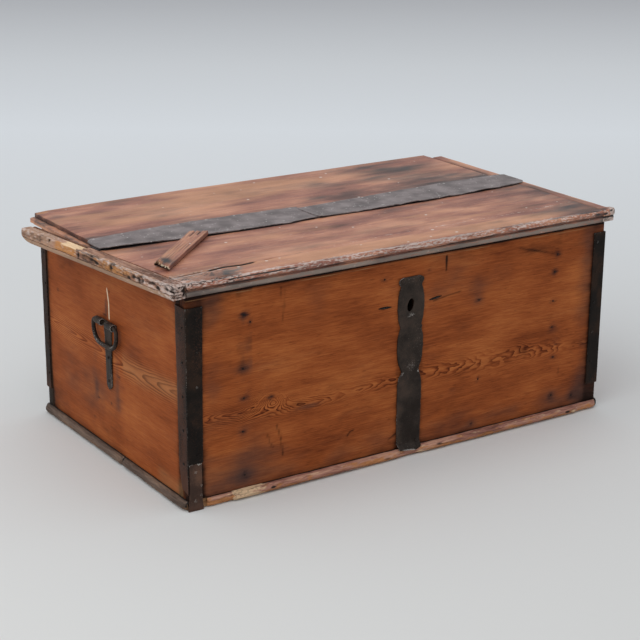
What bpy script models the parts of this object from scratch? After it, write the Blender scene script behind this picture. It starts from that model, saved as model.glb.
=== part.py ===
"""Pine folk chest: iron-bound carcase, clamped plank lid, wrought lock strap and drop handles.

Metres, +Z up, the front faces -Y. The origin is the middle of the footprint on the floor.
"""

import math

import bmesh
import bpy
from mathutils import Matrix, Vector

# Gap between pieces that touch, and reach of a cutter past the wall it cuts
FIT = 0.0003
REACH = 0.010

# Carcase boards
BODY_LENGTH = 1.100
BODY_DEPTH = 0.668
BODY_TOP = 0.459
WALL = 0.024
BOTTOM_THICKNESS = 0.020
BOTTOM_BOARDS = 3
ARRIS = 0.0012

# Half-round base mouldings, nailed to the edges of the bottom boards
MOULDING_HEIGHT = 0.0175
MOULDING_DEPTH = 0.013
MOULDING_LIFT = 0.0025
MOULDING_STEPS = 10
LEFT_MOULDING_JOINT = 0.277

# Corner irons: sheet folded round the upright corners
IRON_SHEET = 0.003
IRON_BELOW_TOP = 0.027
IRON_FOOT = 0.063
FRONT_LEFT_LEG = 0.038
FRONT_RIGHT_LEG = 0.032
SIDE_LEG = 0.041
REAR_SIDE_LEG = 0.022
BACK_LEG = 0.040

# Foot of the front left iron, and the shoe plate nailed below it
SHOE_TOP = 0.096
SHOE_FOOT = 0.006
SHOE_WIDTH = 0.034
SPUR_WIDTH = 0.0055
SPUR_TIP = 0.040
SIDE_LEG_SHOULDER = 0.070
SIDE_LEG_FOOT = 0.033

# Lid: two boards tongued into clamps at their ends
LID_THICKNESS = 0.027
LID_FRONT_OVERHANG = 0.014
LID_JOINT = 0.335
TONGUE_THICKNESS = 0.009
TONGUE_BELOW_TOP = 0.009
TONGUE_SETBACK = 0.034
GROOVE_SETBACK = 0.026
LEFT_SHOULDER_OVERHANG = 0.020
LEFT_TONGUE = 0.021
RIGHT_TONGUE = 0.014
RIGHT_OVERHANG = 0.015
RIGHT_CLAMP_WIDTH = 0.032
RIGHT_CLAMP_SHORTFALL = 0.034

# Moulded front edge of the lid: half-round nose, quirk, lower band
NOSE_HEIGHT = 0.0145
NOSE_DEPTH = 0.008
NOSE_STEPS = 8
QUIRK_DEPTH = 0.0055
QUIRK_HEIGHT = 0.0015
BAND_SETBACK = 0.003

# Left clamp, sprung outwards from its front end, its upper layer broken off towards the rear
LEFT_CLAMP_WIDTH = 0.035
LEFT_CLAMP_THICKNESS = 0.029
LEFT_CLAMP_LENGTH = 0.557
LEFT_CLAMP_CLEAR = 0.004
LEFT_CLAMP_SPLAY = math.radians(6.5)
SOUND_LENGTH = 0.335
BREAK_DEPTH = 0.0025
CLAMP_END_REACH = 0.030
CLAMP_END_RAKE = math.radians(40)

# Broken-off upper layer of the clamp, lying across the lid
FRAGMENT_LENGTH = 0.262
FRAGMENT_WIDTH = 0.038
FRAGMENT_THICKNESS = 0.010
FRAGMENT_SKEW = 0.012
FRAGMENT_FROM_LEFT = 0.097
FRAGMENT_FROM_FRONT = 0.189
FRAGMENT_TURN = math.radians(43.5)

# Sheet-iron patch over the lid joint, in two lengths
PATCH_SHEET = 0.0015
PATCH_WIDTH = 0.108
PATCH_FROM_FRONT = 0.280
PATCH_LEFT_REACH = 0.034
PATCH_RIGHT_REACH = 0.012
PATCH_BUTT = 0.497
PATCH_CHAMFER = 0.030

# Lock strap: stations up its height, each with its half width
STRAP_SHEET = 0.003
STRAP_FOOT = 0.012
STRAP_STATIONS = (
    (0.000, 0.020),
    (0.012, 0.031),
    (0.060, 0.032),
    (0.150, 0.033),
    (0.186, 0.0235),
    (0.226, 0.033),
    (0.252, 0.0345),
    (0.288, 0.028),
    (0.328, 0.0355),
    (0.376, 0.031),
    (0.388, 0.034),
    (0.399, 0.026),
)
KEYHOLE_HEIGHT = 0.352
KEYHOLE_RADIUS = 0.0075
KEYHOLE_SLOT_WIDTH = 0.010
KEYHOLE_SLOT_DROP = 0.018
LOCK_NAILS = (("foot", 0.021, 0.020), ("top", 0.0245, 0.391))
CLENCH_REACH = 0.066
CLENCH_LENGTH = 0.028
CLENCH_SECTION = 0.005
CLENCH_PROUD = 0.002

# Lock: open-fronted case on the inside, bolt in three lugs, staple under the lid
CASE_LENGTH = 0.112
CASE_BELOW_LID = 0.0293
CASE_DEPTH = 0.030
CASE_WALL = 0.0025
CASE_BELOW_KEYHOLE = 0.034
EAR_LENGTH = 0.024
EAR_HEIGHT = 0.020
BOLT_WIDTH = 0.008
BOLT_HEIGHT = 0.010
BOLT_BELOW_CASE_TOP = 0.052
BOLT_LENGTH = 0.040
BOLT_TRAVEL = 0.015
LUG_LENGTH = 0.006
LUG_RIM = 0.004
STAPLE_THICKNESS = 0.006
STAPLE_RIM = 0.004
STAPLE_SETBACK = 0.009
STAPLE_CLEAR = 0.003
STAPLE_PLATE_LENGTH = 0.060
STAPLE_PLATE_THICKNESS = 0.003

# Drop handles on the ends
HANDLE_HEIGHT = 0.308
HANDLE_BEHIND_CENTRE = 0.008
HANDLE_SHEET = 0.003
HANDLE_STRAP_TOP = 0.034
HANDLE_STRAP_FOOT = 0.026
HANDLE_STRAP_DROP = 0.142
HANDLE_STRAP_POINT = 0.009
HANDLE_NAILS = (("upper", 0.078), ("lower", 0.131))
ARM_HALF_HEIGHT = 0.0048
EYE_INNER_END = 0.012
EYE_LENGTH = 0.028
EYE_WALL = 0.0025
ROD_RADIUS = 0.005
ROD_CLEARANCE = 0.0005
ROD_STANDOFF = 0.0008
BAIL_WIDTH = 0.108
BAIL_DROP = 0.050
BAIL_SHOULDER_RADIUS = 0.010
BAIL_BELLY_RADIUS = 0.034
BAIL_END_GAP = 0.003
SHOULDER_STEPS = 5
BELLY_STEPS = 8
ROD_FACETS = 2

# Strap hinges: strap under the lid, leaf on the back, knuckles behind the back board
HINGE_INSET = 0.210
HINGE_SHEET = 0.003
HINGE_WIDTH = 0.042
HINGE_STRAP_PAST_JOINT = 0.087
HINGE_STRAP_TIP = 0.022
HINGE_LEAF_DROP = 0.190
HINGE_LEAF_TIP = 0.024
HINGE_CORNER = 0.003
STRAP_NAIL_FROM_REAR = 0.084
STRAP_NAIL_PAST_JOINT = 0.053
LEAF_NAILS = (("upper", 0.047), ("lower", 0.171))
KNUCKLE_RADIUS = 0.006
PIN_RADIUS = 0.003
PIN_CLEARANCE = 0.0004
PIN_OVERHANG = 0.004
KNUCKLE_GAP = 0.0006
NOTCH_CLEARANCE = 0.001

# Wrought nails: low faceted heads on short shanks
NAIL_RADIUS = 0.0042
NAIL_HEIGHT = 0.0018
NAIL_CROWN = 0.55
NAIL_LENGTH = 0.016
SHANK_RADIUS = 0.0016
NAIL_SIDES = 8
ROUND_SIDES = 16
OUTLINE_STEPS = 3
SHARP_EDGE = math.radians(40)

LEFT = -BODY_LENGTH / 2
RIGHT = BODY_LENGTH / 2
FRONT = -BODY_DEPTH / 2
BACK = BODY_DEPTH / 2
WALL_FOOT = BOTTOM_THICKNESS + FIT
LID_UNDER = BODY_TOP + FIT
LID_TOP = LID_UNDER + LID_THICKNESS
LID_FRONT = FRONT - LID_FRONT_OVERHANG
JOINT_LINE = FRONT + LID_JOINT
FRONT_INSIDE = FRONT + WALL

for old in list(bpy.data.objects):
    bpy.data.objects.remove(old, do_unlink=True)

PARTS = bpy.data.collections.new("folk_chest")
CUTTERS = bpy.data.collections.new("folk_chest_cutters")
for collection in (PARTS, CUTTERS):
    bpy.context.scene.collection.children.link(collection)


def material(name, colour, roughness, metallic):
    """A plain Principled material in the colour of one finish."""
    finish = bpy.data.materials.new(name)
    finish.use_nodes = True
    shader = finish.node_tree.nodes["Principled BSDF"]
    shader.inputs["Base Color"].default_value = (*colour, 1.0)
    shader.inputs["Roughness"].default_value = roughness
    shader.inputs["Metallic"].default_value = metallic
    return finish


PINE = material("waxed_pine", (0.23, 0.075, 0.025), 0.55, 0.0)
RAW_PINE = material("unfinished_pine", (0.36, 0.22, 0.12), 0.75, 0.0)
LID_PINE = material("worn_lid_pine", (0.25, 0.12, 0.07), 0.60, 0.0)
GREY_PINE = material("weathered_pine", (0.17, 0.12, 0.09), 0.80, 0.0)
MOULDING_PINE = material("scuffed_moulding", (0.16, 0.09, 0.07), 0.70, 0.0)
WROUGHT_IRON = material("wrought_iron", (0.020, 0.017, 0.016), 0.55, 0.6)
SHEET_IRON = material("sheet_iron", (0.12, 0.10, 0.09), 0.60, 0.5)
LOCK_IRON = material("lock_iron", (0.060, 0.055, 0.050), 0.50, 0.8)


def finish_piece(piece, finish):
    """Give a piece its material and put it in the chest's collection."""
    piece.data.materials.clear()
    piece.data.materials.append(finish)
    PARTS.objects.link(piece)
    return piece


def make_tool(piece):
    """Keep a cutter, or a shape that is joined on, out of the finished chest."""
    CUTTERS.objects.link(piece)
    piece.hide_render = True
    piece.display_type = "WIRE"
    return piece


def block(name, low, high):
    """A rectangular block between two corners, with its object at the block's middle."""
    low, high = Vector(low), Vector(high)
    shape = bmesh.new()
    bmesh.ops.create_cube(shape, size=1.0, matrix=Matrix.Diagonal((*(high - low), 1.0)))
    mesh = bpy.data.meshes.new(name)
    shape.to_mesh(mesh)
    shape.free()
    piece = bpy.data.objects.new(name, mesh)
    piece.location = (low + high) / 2
    return piece


def rod(name, radius, length, axis, middle, sides=ROUND_SIDES):
    """A closed cylinder along X, Y or Z about a middle point."""
    shape = bmesh.new()
    bmesh.ops.create_cone(
        shape, cap_ends=True, segments=sides, radius1=radius, radius2=radius, depth=length
    )
    mesh = bpy.data.meshes.new(name)
    shape.to_mesh(mesh)
    shape.free()
    piece = bpy.data.objects.new(name, mesh)
    piece.matrix_world = Matrix.Translation(middle) @ Vector((0, 0, 1)).rotation_difference(
        Vector(axis)
    ).to_matrix().to_4x4()
    mesh.shade_smooth()
    mesh.set_sharp_from_angle(angle=SHARP_EDGE)
    return piece


def face_frame(outward, origin):
    """Placement of a flat outline on an upright face: its Y is up and its Z is outward."""
    outward = Vector(outward)
    up = Vector((0, 0, 1))
    across = up.cross(outward)
    turn = Matrix((across, up, outward)).transposed().to_4x4()
    return Matrix.Translation(origin) @ turn


def mesh_from_curve(curve_object):
    """A closed mesh object in place of a curve, with the loose caps welded on."""
    bpy.context.scene.collection.objects.link(curve_object)
    bpy.context.view_layer.update()
    evaluated = curve_object.evaluated_get(bpy.context.evaluated_depsgraph_get())
    mesh = bpy.data.meshes.new_from_object(evaluated)
    weld = bmesh.new()
    weld.from_mesh(mesh)
    bmesh.ops.remove_doubles(weld, verts=weld.verts, dist=1e-6)
    bmesh.ops.recalc_face_normals(weld, faces=weld.faces)
    weld.to_mesh(mesh)
    weld.free()
    name = curve_object.name
    placement = curve_object.matrix_world.copy()
    bpy.data.objects.remove(curve_object)
    piece = bpy.data.objects.new(name, mesh)
    mesh.name = name
    piece.matrix_world = placement
    return piece


def plate(name, outline, thickness, placement, rounded=False):
    """A flat outline of the given thickness, centred on the placement's own XY plane."""
    curve = bpy.data.curves.new(name, "CURVE")
    curve.dimensions = "2D"
    curve.fill_mode = "BOTH"
    curve.extrude = thickness / 2
    curve.resolution_u = OUTLINE_STEPS
    spline = curve.splines.new("BEZIER" if rounded else "POLY")
    points = spline.bezier_points if rounded else spline.points
    points.add(len(outline) - 1)
    for point, (across, up) in zip(points, outline):
        if rounded:
            point.co = (across, up, 0)
            point.handle_left_type = "AUTO"
            point.handle_right_type = "AUTO"
        else:
            point.co = (across, up, 0, 1)
    spline.use_cyclic_u = True
    curve_object = bpy.data.objects.new(name, curve)
    curve_object.matrix_world = placement
    return mesh_from_curve(curve_object)


def combine(piece, tool, operation):
    """Cut a tool out of a piece, or join it on."""
    change = piece.modifiers.new(tool.name, "BOOLEAN")
    change.operation = operation
    change.object = tool
    return piece


def cut(piece, tool):
    return combine(piece, make_tool(tool), "DIFFERENCE")


def join(piece, tool):
    return combine(piece, make_tool(tool), "UNION")


def ease(piece, width=ARRIS):
    """Take the sharp arris off a sawn board."""
    bevel = piece.modifiers.new("arris", "BEVEL")
    bevel.width = width
    bevel.segments = 1
    bevel.limit_method = "ANGLE"
    return piece


def nail(name, point, outward, holed):
    """A wrought nail: faceted head on the metal, shank in the holes it makes in the named pieces."""
    outward = Vector(outward)
    turn = Vector((0, 0, 1)).rotation_difference(outward).to_matrix().to_4x4()
    stand = Matrix.Translation(point) @ turn
    shape = bmesh.new()
    bmesh.ops.create_cone(
        shape,
        cap_ends=True,
        segments=NAIL_SIDES,
        radius1=NAIL_RADIUS,
        radius2=NAIL_RADIUS * NAIL_CROWN,
        depth=NAIL_HEIGHT,
        matrix=Matrix.Translation((0, 0, FIT + NAIL_HEIGHT / 2)),
    )
    mesh = bpy.data.meshes.new(name)
    shape.to_mesh(mesh)
    shape.free()
    piece = bpy.data.objects.new(name, mesh)
    piece.matrix_world = stand
    shank_reach = NAIL_HEIGHT / 2
    shank = rod(
        name + "_shank",
        SHANK_RADIUS,
        NAIL_LENGTH + shank_reach,
        outward,
        Vector(point) + outward * (shank_reach - NAIL_LENGTH) / 2,
        NAIL_SIDES,
    )
    join(piece, shank)
    hole_reach = REACH + NAIL_LENGTH + FIT
    hole = make_tool(
        rod(
            name + "_hole",
            SHANK_RADIUS + FIT,
            hole_reach,
            outward,
            Vector(point) + outward * (REACH - hole_reach / 2),
            NAIL_SIDES,
        )
    )
    for other in holed:
        combine(other, hole, "DIFFERENCE")
    return finish_piece(piece, WROUGHT_IRON)


# Wall boards: front and back run the full length, the ends stand between them
def keyhole_tools(label, y_from, y_to):
    """Round head and straight slot of the keyhole, from one depth to another."""
    middle = (y_from + y_to) / 2
    head = rod(label + "_head", KEYHOLE_RADIUS, y_to - y_from, (0, 1, 0), (0, middle, KEYHOLE_HEIGHT))
    slot = block(
        label + "_slot",
        (-KEYHOLE_SLOT_WIDTH / 2, y_from, KEYHOLE_HEIGHT - KEYHOLE_SLOT_DROP),
        (KEYHOLE_SLOT_WIDTH / 2, y_to, KEYHOLE_HEIGHT),
    )
    return head, slot


front_board = ease(block("front_board", (LEFT, FRONT, WALL_FOOT), (RIGHT, FRONT_INSIDE, BODY_TOP)))
for tool in keyhole_tools("board_keyhole", FRONT - REACH, FRONT_INSIDE + REACH):
    cut(front_board, tool)
finish_piece(front_board, PINE)

back_board = ease(block("back_board", (LEFT, BACK - WALL, WALL_FOOT), (RIGHT, BACK, BODY_TOP)))
hinge_places = (("left", LEFT + HINGE_INSET), ("right", RIGHT - HINGE_INSET))
strap_under = LID_UNDER - FIT - HINGE_SHEET
for side, x in hinge_places:
    half = HINGE_WIDTH / 2 + NOTCH_CLEARANCE
    notch = block(
        side + "_hinge_notch",
        (x - half, BACK - WALL - REACH, strap_under - FIT),
        (x + half, BACK + REACH, BODY_TOP + REACH),
    )
    cut(back_board, notch)
finish_piece(back_board, PINE)

for side, low, high in (("left", LEFT, LEFT + WALL), ("right", RIGHT - WALL, RIGHT)):
    end_board = block(
        side + "_end_board",
        (low, FRONT_INSIDE + FIT, WALL_FOOT),
        (high, BACK - WALL - FIT, BODY_TOP),
    )
    finish_piece(ease(end_board), PINE)

# Bottom boards run lengthwise under the walls
board_pitch = BODY_DEPTH / BOTTOM_BOARDS
for index in range(BOTTOM_BOARDS):
    near = FRONT + index * board_pitch
    bottom_board = block(
        "bottom_board_%d" % (index + 1),
        (LEFT, near + (FIT / 2 if index else 0), 0),
        (RIGHT, near + board_pitch - (FIT / 2 if index < BOTTOM_BOARDS - 1 else 0), BOTTOM_THICKNESS),
    )
    finish_piece(bottom_board, RAW_PINE)


# Lock strap on the front, with its keyhole
right_edge = [(half, up) for up, half in STRAP_STATIONS]
left_edge = [(-half, up) for up, half in reversed(STRAP_STATIONS)]
lock_strap = plate(
    "lock_plate",
    right_edge + left_edge,
    STRAP_SHEET,
    face_frame((0, -1, 0), (0, FRONT - FIT - STRAP_SHEET / 2, STRAP_FOOT)),
    rounded=True,
)
for tool in keyhole_tools("strap_keyhole", FRONT - STRAP_SHEET - REACH, FRONT + REACH):
    cut(lock_strap, tool)
finish_piece(lock_strap, WROUGHT_IRON)
strap_lowest = STRAP_FOOT + min(vertex.co.y for vertex in lock_strap.data.vertices)
strap_half_width = max(vertex.co.x for vertex in lock_strap.data.vertices)


# Base mouldings
def moulding_outline():
    """Half ellipse standing on a flat back, seen along the moulding: depth across, height up."""
    outline = []
    for step in range(MOULDING_STEPS + 1):
        angle = math.pi * step / MOULDING_STEPS - math.pi / 2
        outline.append((MOULDING_DEPTH * math.cos(angle), MOULDING_HEIGHT / 2 * math.sin(angle)))
    return outline


def moulding(name, start, end, outward):
    """A length of moulding along an upright face, from one point at floor level to another."""
    start, end, outward = Vector(start), Vector(end), Vector(outward)
    up = Vector((0, 0, 1))
    along = outward.cross(up)
    turn = Matrix((outward, up, along)).transposed().to_4x4()
    middle = (start + end) / 2 + outward * FIT + up * (MOULDING_LIFT + MOULDING_HEIGHT / 2)
    length = (end - start).length
    return plate(name, moulding_outline(), length, Matrix.Translation(middle) @ turn)


shoe_left = LEFT + SPUR_WIDTH + FIT
shoe_right = shoe_left + SHOE_WIDTH
front_moulding = moulding(
    "front_base_moulding",
    (shoe_right + FIT, FRONT, 0),
    (RIGHT + FIT + MOULDING_DEPTH, FRONT, 0),
    (0, -1, 0),
)
strap_notch = block(
    "strap_notch",
    (-strap_half_width - FIT, FRONT - STRAP_SHEET - 2 * FIT, strap_lowest - FIT),
    (strap_half_width + FIT, FRONT + REACH, MOULDING_LIFT + MOULDING_HEIGHT + REACH),
)
finish_piece(cut(front_moulding, strap_notch), MOULDING_PINE)
left_joint = FRONT + LEFT_MOULDING_JOINT
for name, near, far in (
    ("left_base_moulding_front", FRONT, left_joint - FIT / 2),
    ("left_base_moulding_rear", left_joint + FIT / 2, BACK),
):
    finish_piece(moulding(name, (LEFT, near, 0), (LEFT, far, 0), (-1, 0, 0)), MOULDING_PINE)
finish_piece(
    moulding("right_base_moulding", (RIGHT, FRONT, 0), (RIGHT, BACK, 0), (1, 0, 0)), MOULDING_PINE
)

# Corner irons: two legs of sheet joined along the corner
iron_top = BODY_TOP - IRON_BELOW_TOP
leg_lift = FIT + IRON_SHEET / 2
fold = FIT + IRON_SHEET


def corner_iron(name, x, y, face_outline, end_outline):
    """Leg on the long face and leg on the end; outlines give the way in from the corner and up."""
    to_side = math.copysign(1, x)
    to_face = math.copysign(1, y)
    hand = to_side * to_face
    face_leg = [(hand * inward, up) for inward, up in face_outline]
    end_leg = [(-hand * inward, up) for inward, up in end_outline]
    face_place = face_frame((0, to_face, 0), (x, y + to_face * leg_lift, 0))
    end_place = face_frame((to_side, 0, 0), (x + to_side * leg_lift, y, 0))
    iron = plate(name, face_leg, IRON_SHEET, face_place)
    join(iron, plate(name + "_end_leg", end_leg, IRON_SHEET, end_place))
    return finish_piece(iron, WROUGHT_IRON)


def plain_leg(width, inset):
    return [(inset, IRON_FOOT), (width, IRON_FOOT), (width, iron_top), (inset, iron_top)]


spurred_face_leg = [
    (-fold, SPUR_TIP),
    (SPUR_WIDTH, SIDE_LEG_SHOULDER),
    (SPUR_WIDTH, SHOE_TOP + FIT),
    (FRONT_LEFT_LEG, SHOE_TOP + FIT),
    (FRONT_LEFT_LEG, iron_top),
    (-fold, iron_top),
]
tapered_end_leg = [
    (-leg_lift, SPUR_TIP),
    (SIDE_LEG_FOOT, SIDE_LEG_SHOULDER),
    (SIDE_LEG, iron_top),
    (-leg_lift, iron_top),
]
corner_iron("front_left_corner_iron", LEFT, FRONT, spurred_face_leg, tapered_end_leg)
for name, x, y, face_width, end_width in (
    ("front_right_corner_iron", RIGHT, FRONT, FRONT_RIGHT_LEG, SIDE_LEG),
    ("rear_left_corner_iron", LEFT, BACK, BACK_LEG, REAR_SIDE_LEG),
    ("rear_right_corner_iron", RIGHT, BACK, BACK_LEG, REAR_SIDE_LEG),
):
    corner_iron(name, x, y, plain_leg(face_width, -fold), plain_leg(end_width, -leg_lift))
shoe = block(
    "front_left_corner_shoe",
    (shoe_left, FRONT - FIT - IRON_SHEET, SHOE_FOOT),
    (shoe_right, FRONT - FIT, SHOE_TOP),
)
finish_piece(shoe, WROUGHT_IRON)

# Lock case: a box open towards the front board, with ears, a slot for the staple and three bolt lugs
case_near = FRONT_INSIDE + FIT
case_far = case_near + CASE_DEPTH
case_foot = KEYHOLE_HEIGHT - CASE_BELOW_KEYHOLE
case_top = LID_UNDER - CASE_BELOW_LID
case_half = CASE_LENGTH / 2
bolt_middle = case_top - BOLT_BELOW_CASE_TOP
bolt_half_height = BOLT_HEIGHT / 2
staple_near = FRONT_INSIDE + STAPLE_SETBACK
bolt_near = staple_near + STAPLE_RIM + FIT
bolt_far = bolt_near + BOLT_WIDTH
staple_far = bolt_far + FIT + STAPLE_RIM
staple_half = STAPLE_THICKNESS / 2
lug_start = staple_half + STAPLE_CLEAR
bolt_nose = -lug_start - LUG_LENGTH / 2
bolt_tail = bolt_nose - BOLT_LENGTH
tail_lug_end = bolt_tail + BOLT_TRAVEL + LUG_LENGTH

lock_case = block("lock_case", (-case_half, case_near, case_foot), (case_half, case_far, case_top))
hollow = block(
    "lock_case_hollow",
    (-case_half + CASE_WALL, case_near - REACH, case_foot + CASE_WALL),
    (case_half - CASE_WALL, case_far - CASE_WALL, case_top - CASE_WALL),
)
cut(lock_case, hollow)
staple_slot = block(
    "staple_slot",
    (-staple_half - STAPLE_CLEAR, case_near - REACH, case_top - CASE_WALL - REACH),
    (staple_half + STAPLE_CLEAR, case_far - CASE_WALL, case_top + REACH),
)
cut(lock_case, staple_slot)
lug_ends = (
    (tail_lug_end - LUG_LENGTH, tail_lug_end),
    (-lug_start - LUG_LENGTH, -lug_start),
    (lug_start, lug_start + LUG_LENGTH),
)
for index, (low, high) in enumerate(lug_ends):
    lug = block(
        "bolt_lug_%d" % (index + 1),
        (low, bolt_near - FIT - LUG_RIM, bolt_middle - bolt_half_height - LUG_RIM),
        (high, case_far - CASE_WALL / 2, bolt_middle + bolt_half_height + LUG_RIM),
    )
    join(lock_case, lug)
bolt_way = block(
    "bolt_way",
    (bolt_tail - FIT, bolt_near - FIT, bolt_middle - bolt_half_height - FIT),
    (lug_start + LUG_LENGTH + FIT, bolt_far + FIT, bolt_middle + bolt_half_height + FIT),
)
cut(lock_case, bolt_way)
for side in (-1, 1):
    ear_from, ear_to = sorted((side * (case_half - CASE_WALL / 2), side * (case_half + EAR_LENGTH)))
    ear = block(
        "lock_ear_%s" % ("right" if side > 0 else "left"),
        (ear_from, case_near, KEYHOLE_HEIGHT - EAR_HEIGHT / 2),
        (ear_to, case_near + CASE_WALL, KEYHOLE_HEIGHT + EAR_HEIGHT / 2),
    )
    join(lock_case, ear)
finish_piece(lock_case, LOCK_IRON)

lock_bolt = block(
    "lock_bolt",
    (bolt_tail, bolt_near, bolt_middle - bolt_half_height),
    (bolt_nose, bolt_far, bolt_middle + bolt_half_height),
)
finish_piece(lock_bolt, LOCK_IRON)

# Drop handles: a strap with two rolled eyes, and a bail of round rod hung in them
handle_y = HANDLE_BEHIND_CENTRE
eye_bore = ROD_RADIUS + ROD_CLEARANCE
eye_radius = eye_bore + EYE_WALL
rod_axis_out = FIT + HANDLE_SHEET + ROD_RADIUS + ROD_STANDOFF
eye_outer_end = EYE_INNER_END + EYE_LENGTH
arm_end = eye_outer_end - EYE_WALL / 2


def handle_strap(name, outward_x):
    """T-shaped strap standing on an end board, its arms rolled into eyes."""
    face = LEFT if outward_x < 0 else RIGHT
    outline = [
        (-HANDLE_STRAP_FOOT / 2, -HANDLE_STRAP_DROP),
        (0, -HANDLE_STRAP_DROP - HANDLE_STRAP_POINT),
        (HANDLE_STRAP_FOOT / 2, -HANDLE_STRAP_DROP),
        (HANDLE_STRAP_TOP / 2, -eye_radius),
        (arm_end, -ARM_HALF_HEIGHT),
        (arm_end, ARM_HALF_HEIGHT),
        (-arm_end, ARM_HALF_HEIGHT),
        (-arm_end, -ARM_HALF_HEIGHT),
        (-HANDLE_STRAP_TOP / 2, -eye_radius),
    ]
    middle = (face + outward_x * (FIT + HANDLE_SHEET / 2), handle_y, HANDLE_HEIGHT)
    strap = plate(name, outline, HANDLE_SHEET, face_frame((outward_x, 0, 0), middle))
    axis_x = face + outward_x * rod_axis_out
    for label, side in (("front", -1), ("rear", 1)):
        eye_middle = (axis_x, handle_y + side * (EYE_INNER_END + EYE_LENGTH / 2), HANDLE_HEIGHT)
        eye = rod("%s_%s_eye" % (name, label), eye_radius, EYE_LENGTH, (0, 1, 0), eye_middle)
        join(strap, eye)
    bore = rod(
        name + "_bore", eye_bore, 2 * (eye_outer_end + REACH), (0, 1, 0), (axis_x, handle_y, HANDLE_HEIGHT)
    )
    cut(strap, bore)
    return finish_piece(strap, WROUGHT_IRON)


def arc(centre, radius, start, end, steps):
    """Points on a circle from one angle to another."""
    angles = [start + (end - start) * step / steps for step in range(steps + 1)]
    return [(centre[0] + radius * math.cos(a), centre[1] + radius * math.sin(a)) for a in angles]


def bail_path():
    """Half of the bail from the end in its eye to the middle of its belly, then mirrored."""
    half = BAIL_WIDTH / 2
    shoulder_centre = (half - BAIL_SHOULDER_RADIUS, -BAIL_SHOULDER_RADIUS)
    shoulder = arc(shoulder_centre, BAIL_SHOULDER_RADIUS, math.pi / 2, 0, SHOULDER_STEPS)
    belly_centre = (half - BAIL_BELLY_RADIUS, -BAIL_DROP + BAIL_BELLY_RADIUS)
    belly = arc(belly_centre, BAIL_BELLY_RADIUS, 0, -math.pi / 2, BELLY_STEPS)
    side = [(EYE_INNER_END + BAIL_END_GAP, 0), *shoulder, *belly]
    return side + [(-across, up) for across, up in reversed(side)]


def bail(name, outward_x):
    """Round rod bent to a shallow bow, with its ends turned in along the hinge axis."""
    curve = bpy.data.curves.new(name, "CURVE")
    curve.dimensions = "3D"
    curve.bevel_depth = ROD_RADIUS
    curve.bevel_resolution = ROD_FACETS
    curve.use_fill_caps = True
    spline = curve.splines.new("POLY")
    path = bail_path()
    spline.points.add(len(path) - 1)
    for point, (across, up) in zip(spline.points, path):
        point.co = (across, up, 0, 1)
    bow = bpy.data.objects.new(name, curve)
    face = LEFT if outward_x < 0 else RIGHT
    axis_x = face + outward_x * rod_axis_out
    bow.matrix_world = face_frame((outward_x, 0, 0), (axis_x, handle_y, HANDLE_HEIGHT))
    solid = mesh_from_curve(bow)
    solid.data.shade_smooth()
    return finish_piece(solid, WROUGHT_IRON)


for side, outward_x in (("left", -1), ("right", 1)):
    handle_strap(side + "_handle_strap", outward_x)
    bail(side + "_bail", outward_x)


# Lid boards: the front one carries the moulded edge, both are tongued into the clamps
def edge_outline(rear):
    """Section of the lid across its depth: flat top and underside, moulded front edge."""
    nose_middle = LID_TOP - NOSE_HEIGHT / 2
    nose_root = LID_FRONT + NOSE_DEPTH
    quirk_top = LID_TOP - NOSE_HEIGHT
    outline = [(rear, LID_UNDER), (rear, LID_TOP)]
    for step in range(NOSE_STEPS + 1):
        angle = math.pi / 2 + math.pi * step / NOSE_STEPS
        outline.append(
            (nose_root + NOSE_DEPTH * math.cos(angle), nose_middle + NOSE_HEIGHT / 2 * math.sin(angle))
        )
    outline.append((LID_FRONT + QUIRK_DEPTH, quirk_top - QUIRK_HEIGHT))
    outline.append((LID_FRONT + BAND_SETBACK, quirk_top - QUIRK_HEIGHT))
    outline.append((LID_FRONT + BAND_SETBACK, LID_UNDER + ARRIS))
    outline.append((LID_FRONT + BAND_SETBACK + ARRIS, LID_UNDER))
    return outline


def edge_bar(name, left, right, rear):
    """The lid section carried along X between two ends."""
    turn = Matrix(((0, 0, 1), (1, 0, 0), (0, 1, 0))).to_4x4()
    placement = Matrix.Translation(((left + right) / 2, 0, 0)) @ turn
    return plate(name, edge_outline(rear), right - left, placement)


clamp_hinge = Vector((LEFT - LEFT_CLAMP_CLEAR, LID_FRONT + NOSE_DEPTH, LID_TOP))
clamp_turn = Matrix.Translation(clamp_hinge) @ Matrix.Rotation(LEFT_CLAMP_SPLAY, 4, "Z")
tongue_top = LID_TOP - TONGUE_BELOW_TOP
tongue_foot = tongue_top - TONGUE_THICKNESS
right_shoulder = RIGHT + RIGHT_OVERHANG - RIGHT_CLAMP_WIDTH
right_tongue_end = right_shoulder + RIGHT_TONGUE
left_shoulder = LEFT - LEFT_SHOULDER_OVERHANG
left_tongue_end = left_shoulder - LEFT_TONGUE
lid_left_limit = LEFT - LEFT_CLAMP_CLEAR - LEFT_CLAMP_WIDTH - BODY_DEPTH * math.tan(LEFT_CLAMP_SPLAY)
clamp_room = BODY_DEPTH + REACH


def clamp_block(name, low, high):
    """A block laid out along the sprung clamp, from its front inner corner on the lid's top."""
    piece = block(name, low, high)
    piece.matrix_world = clamp_turn @ Matrix.Translation((Vector(low) + Vector(high)) / 2)
    return piece


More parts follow.
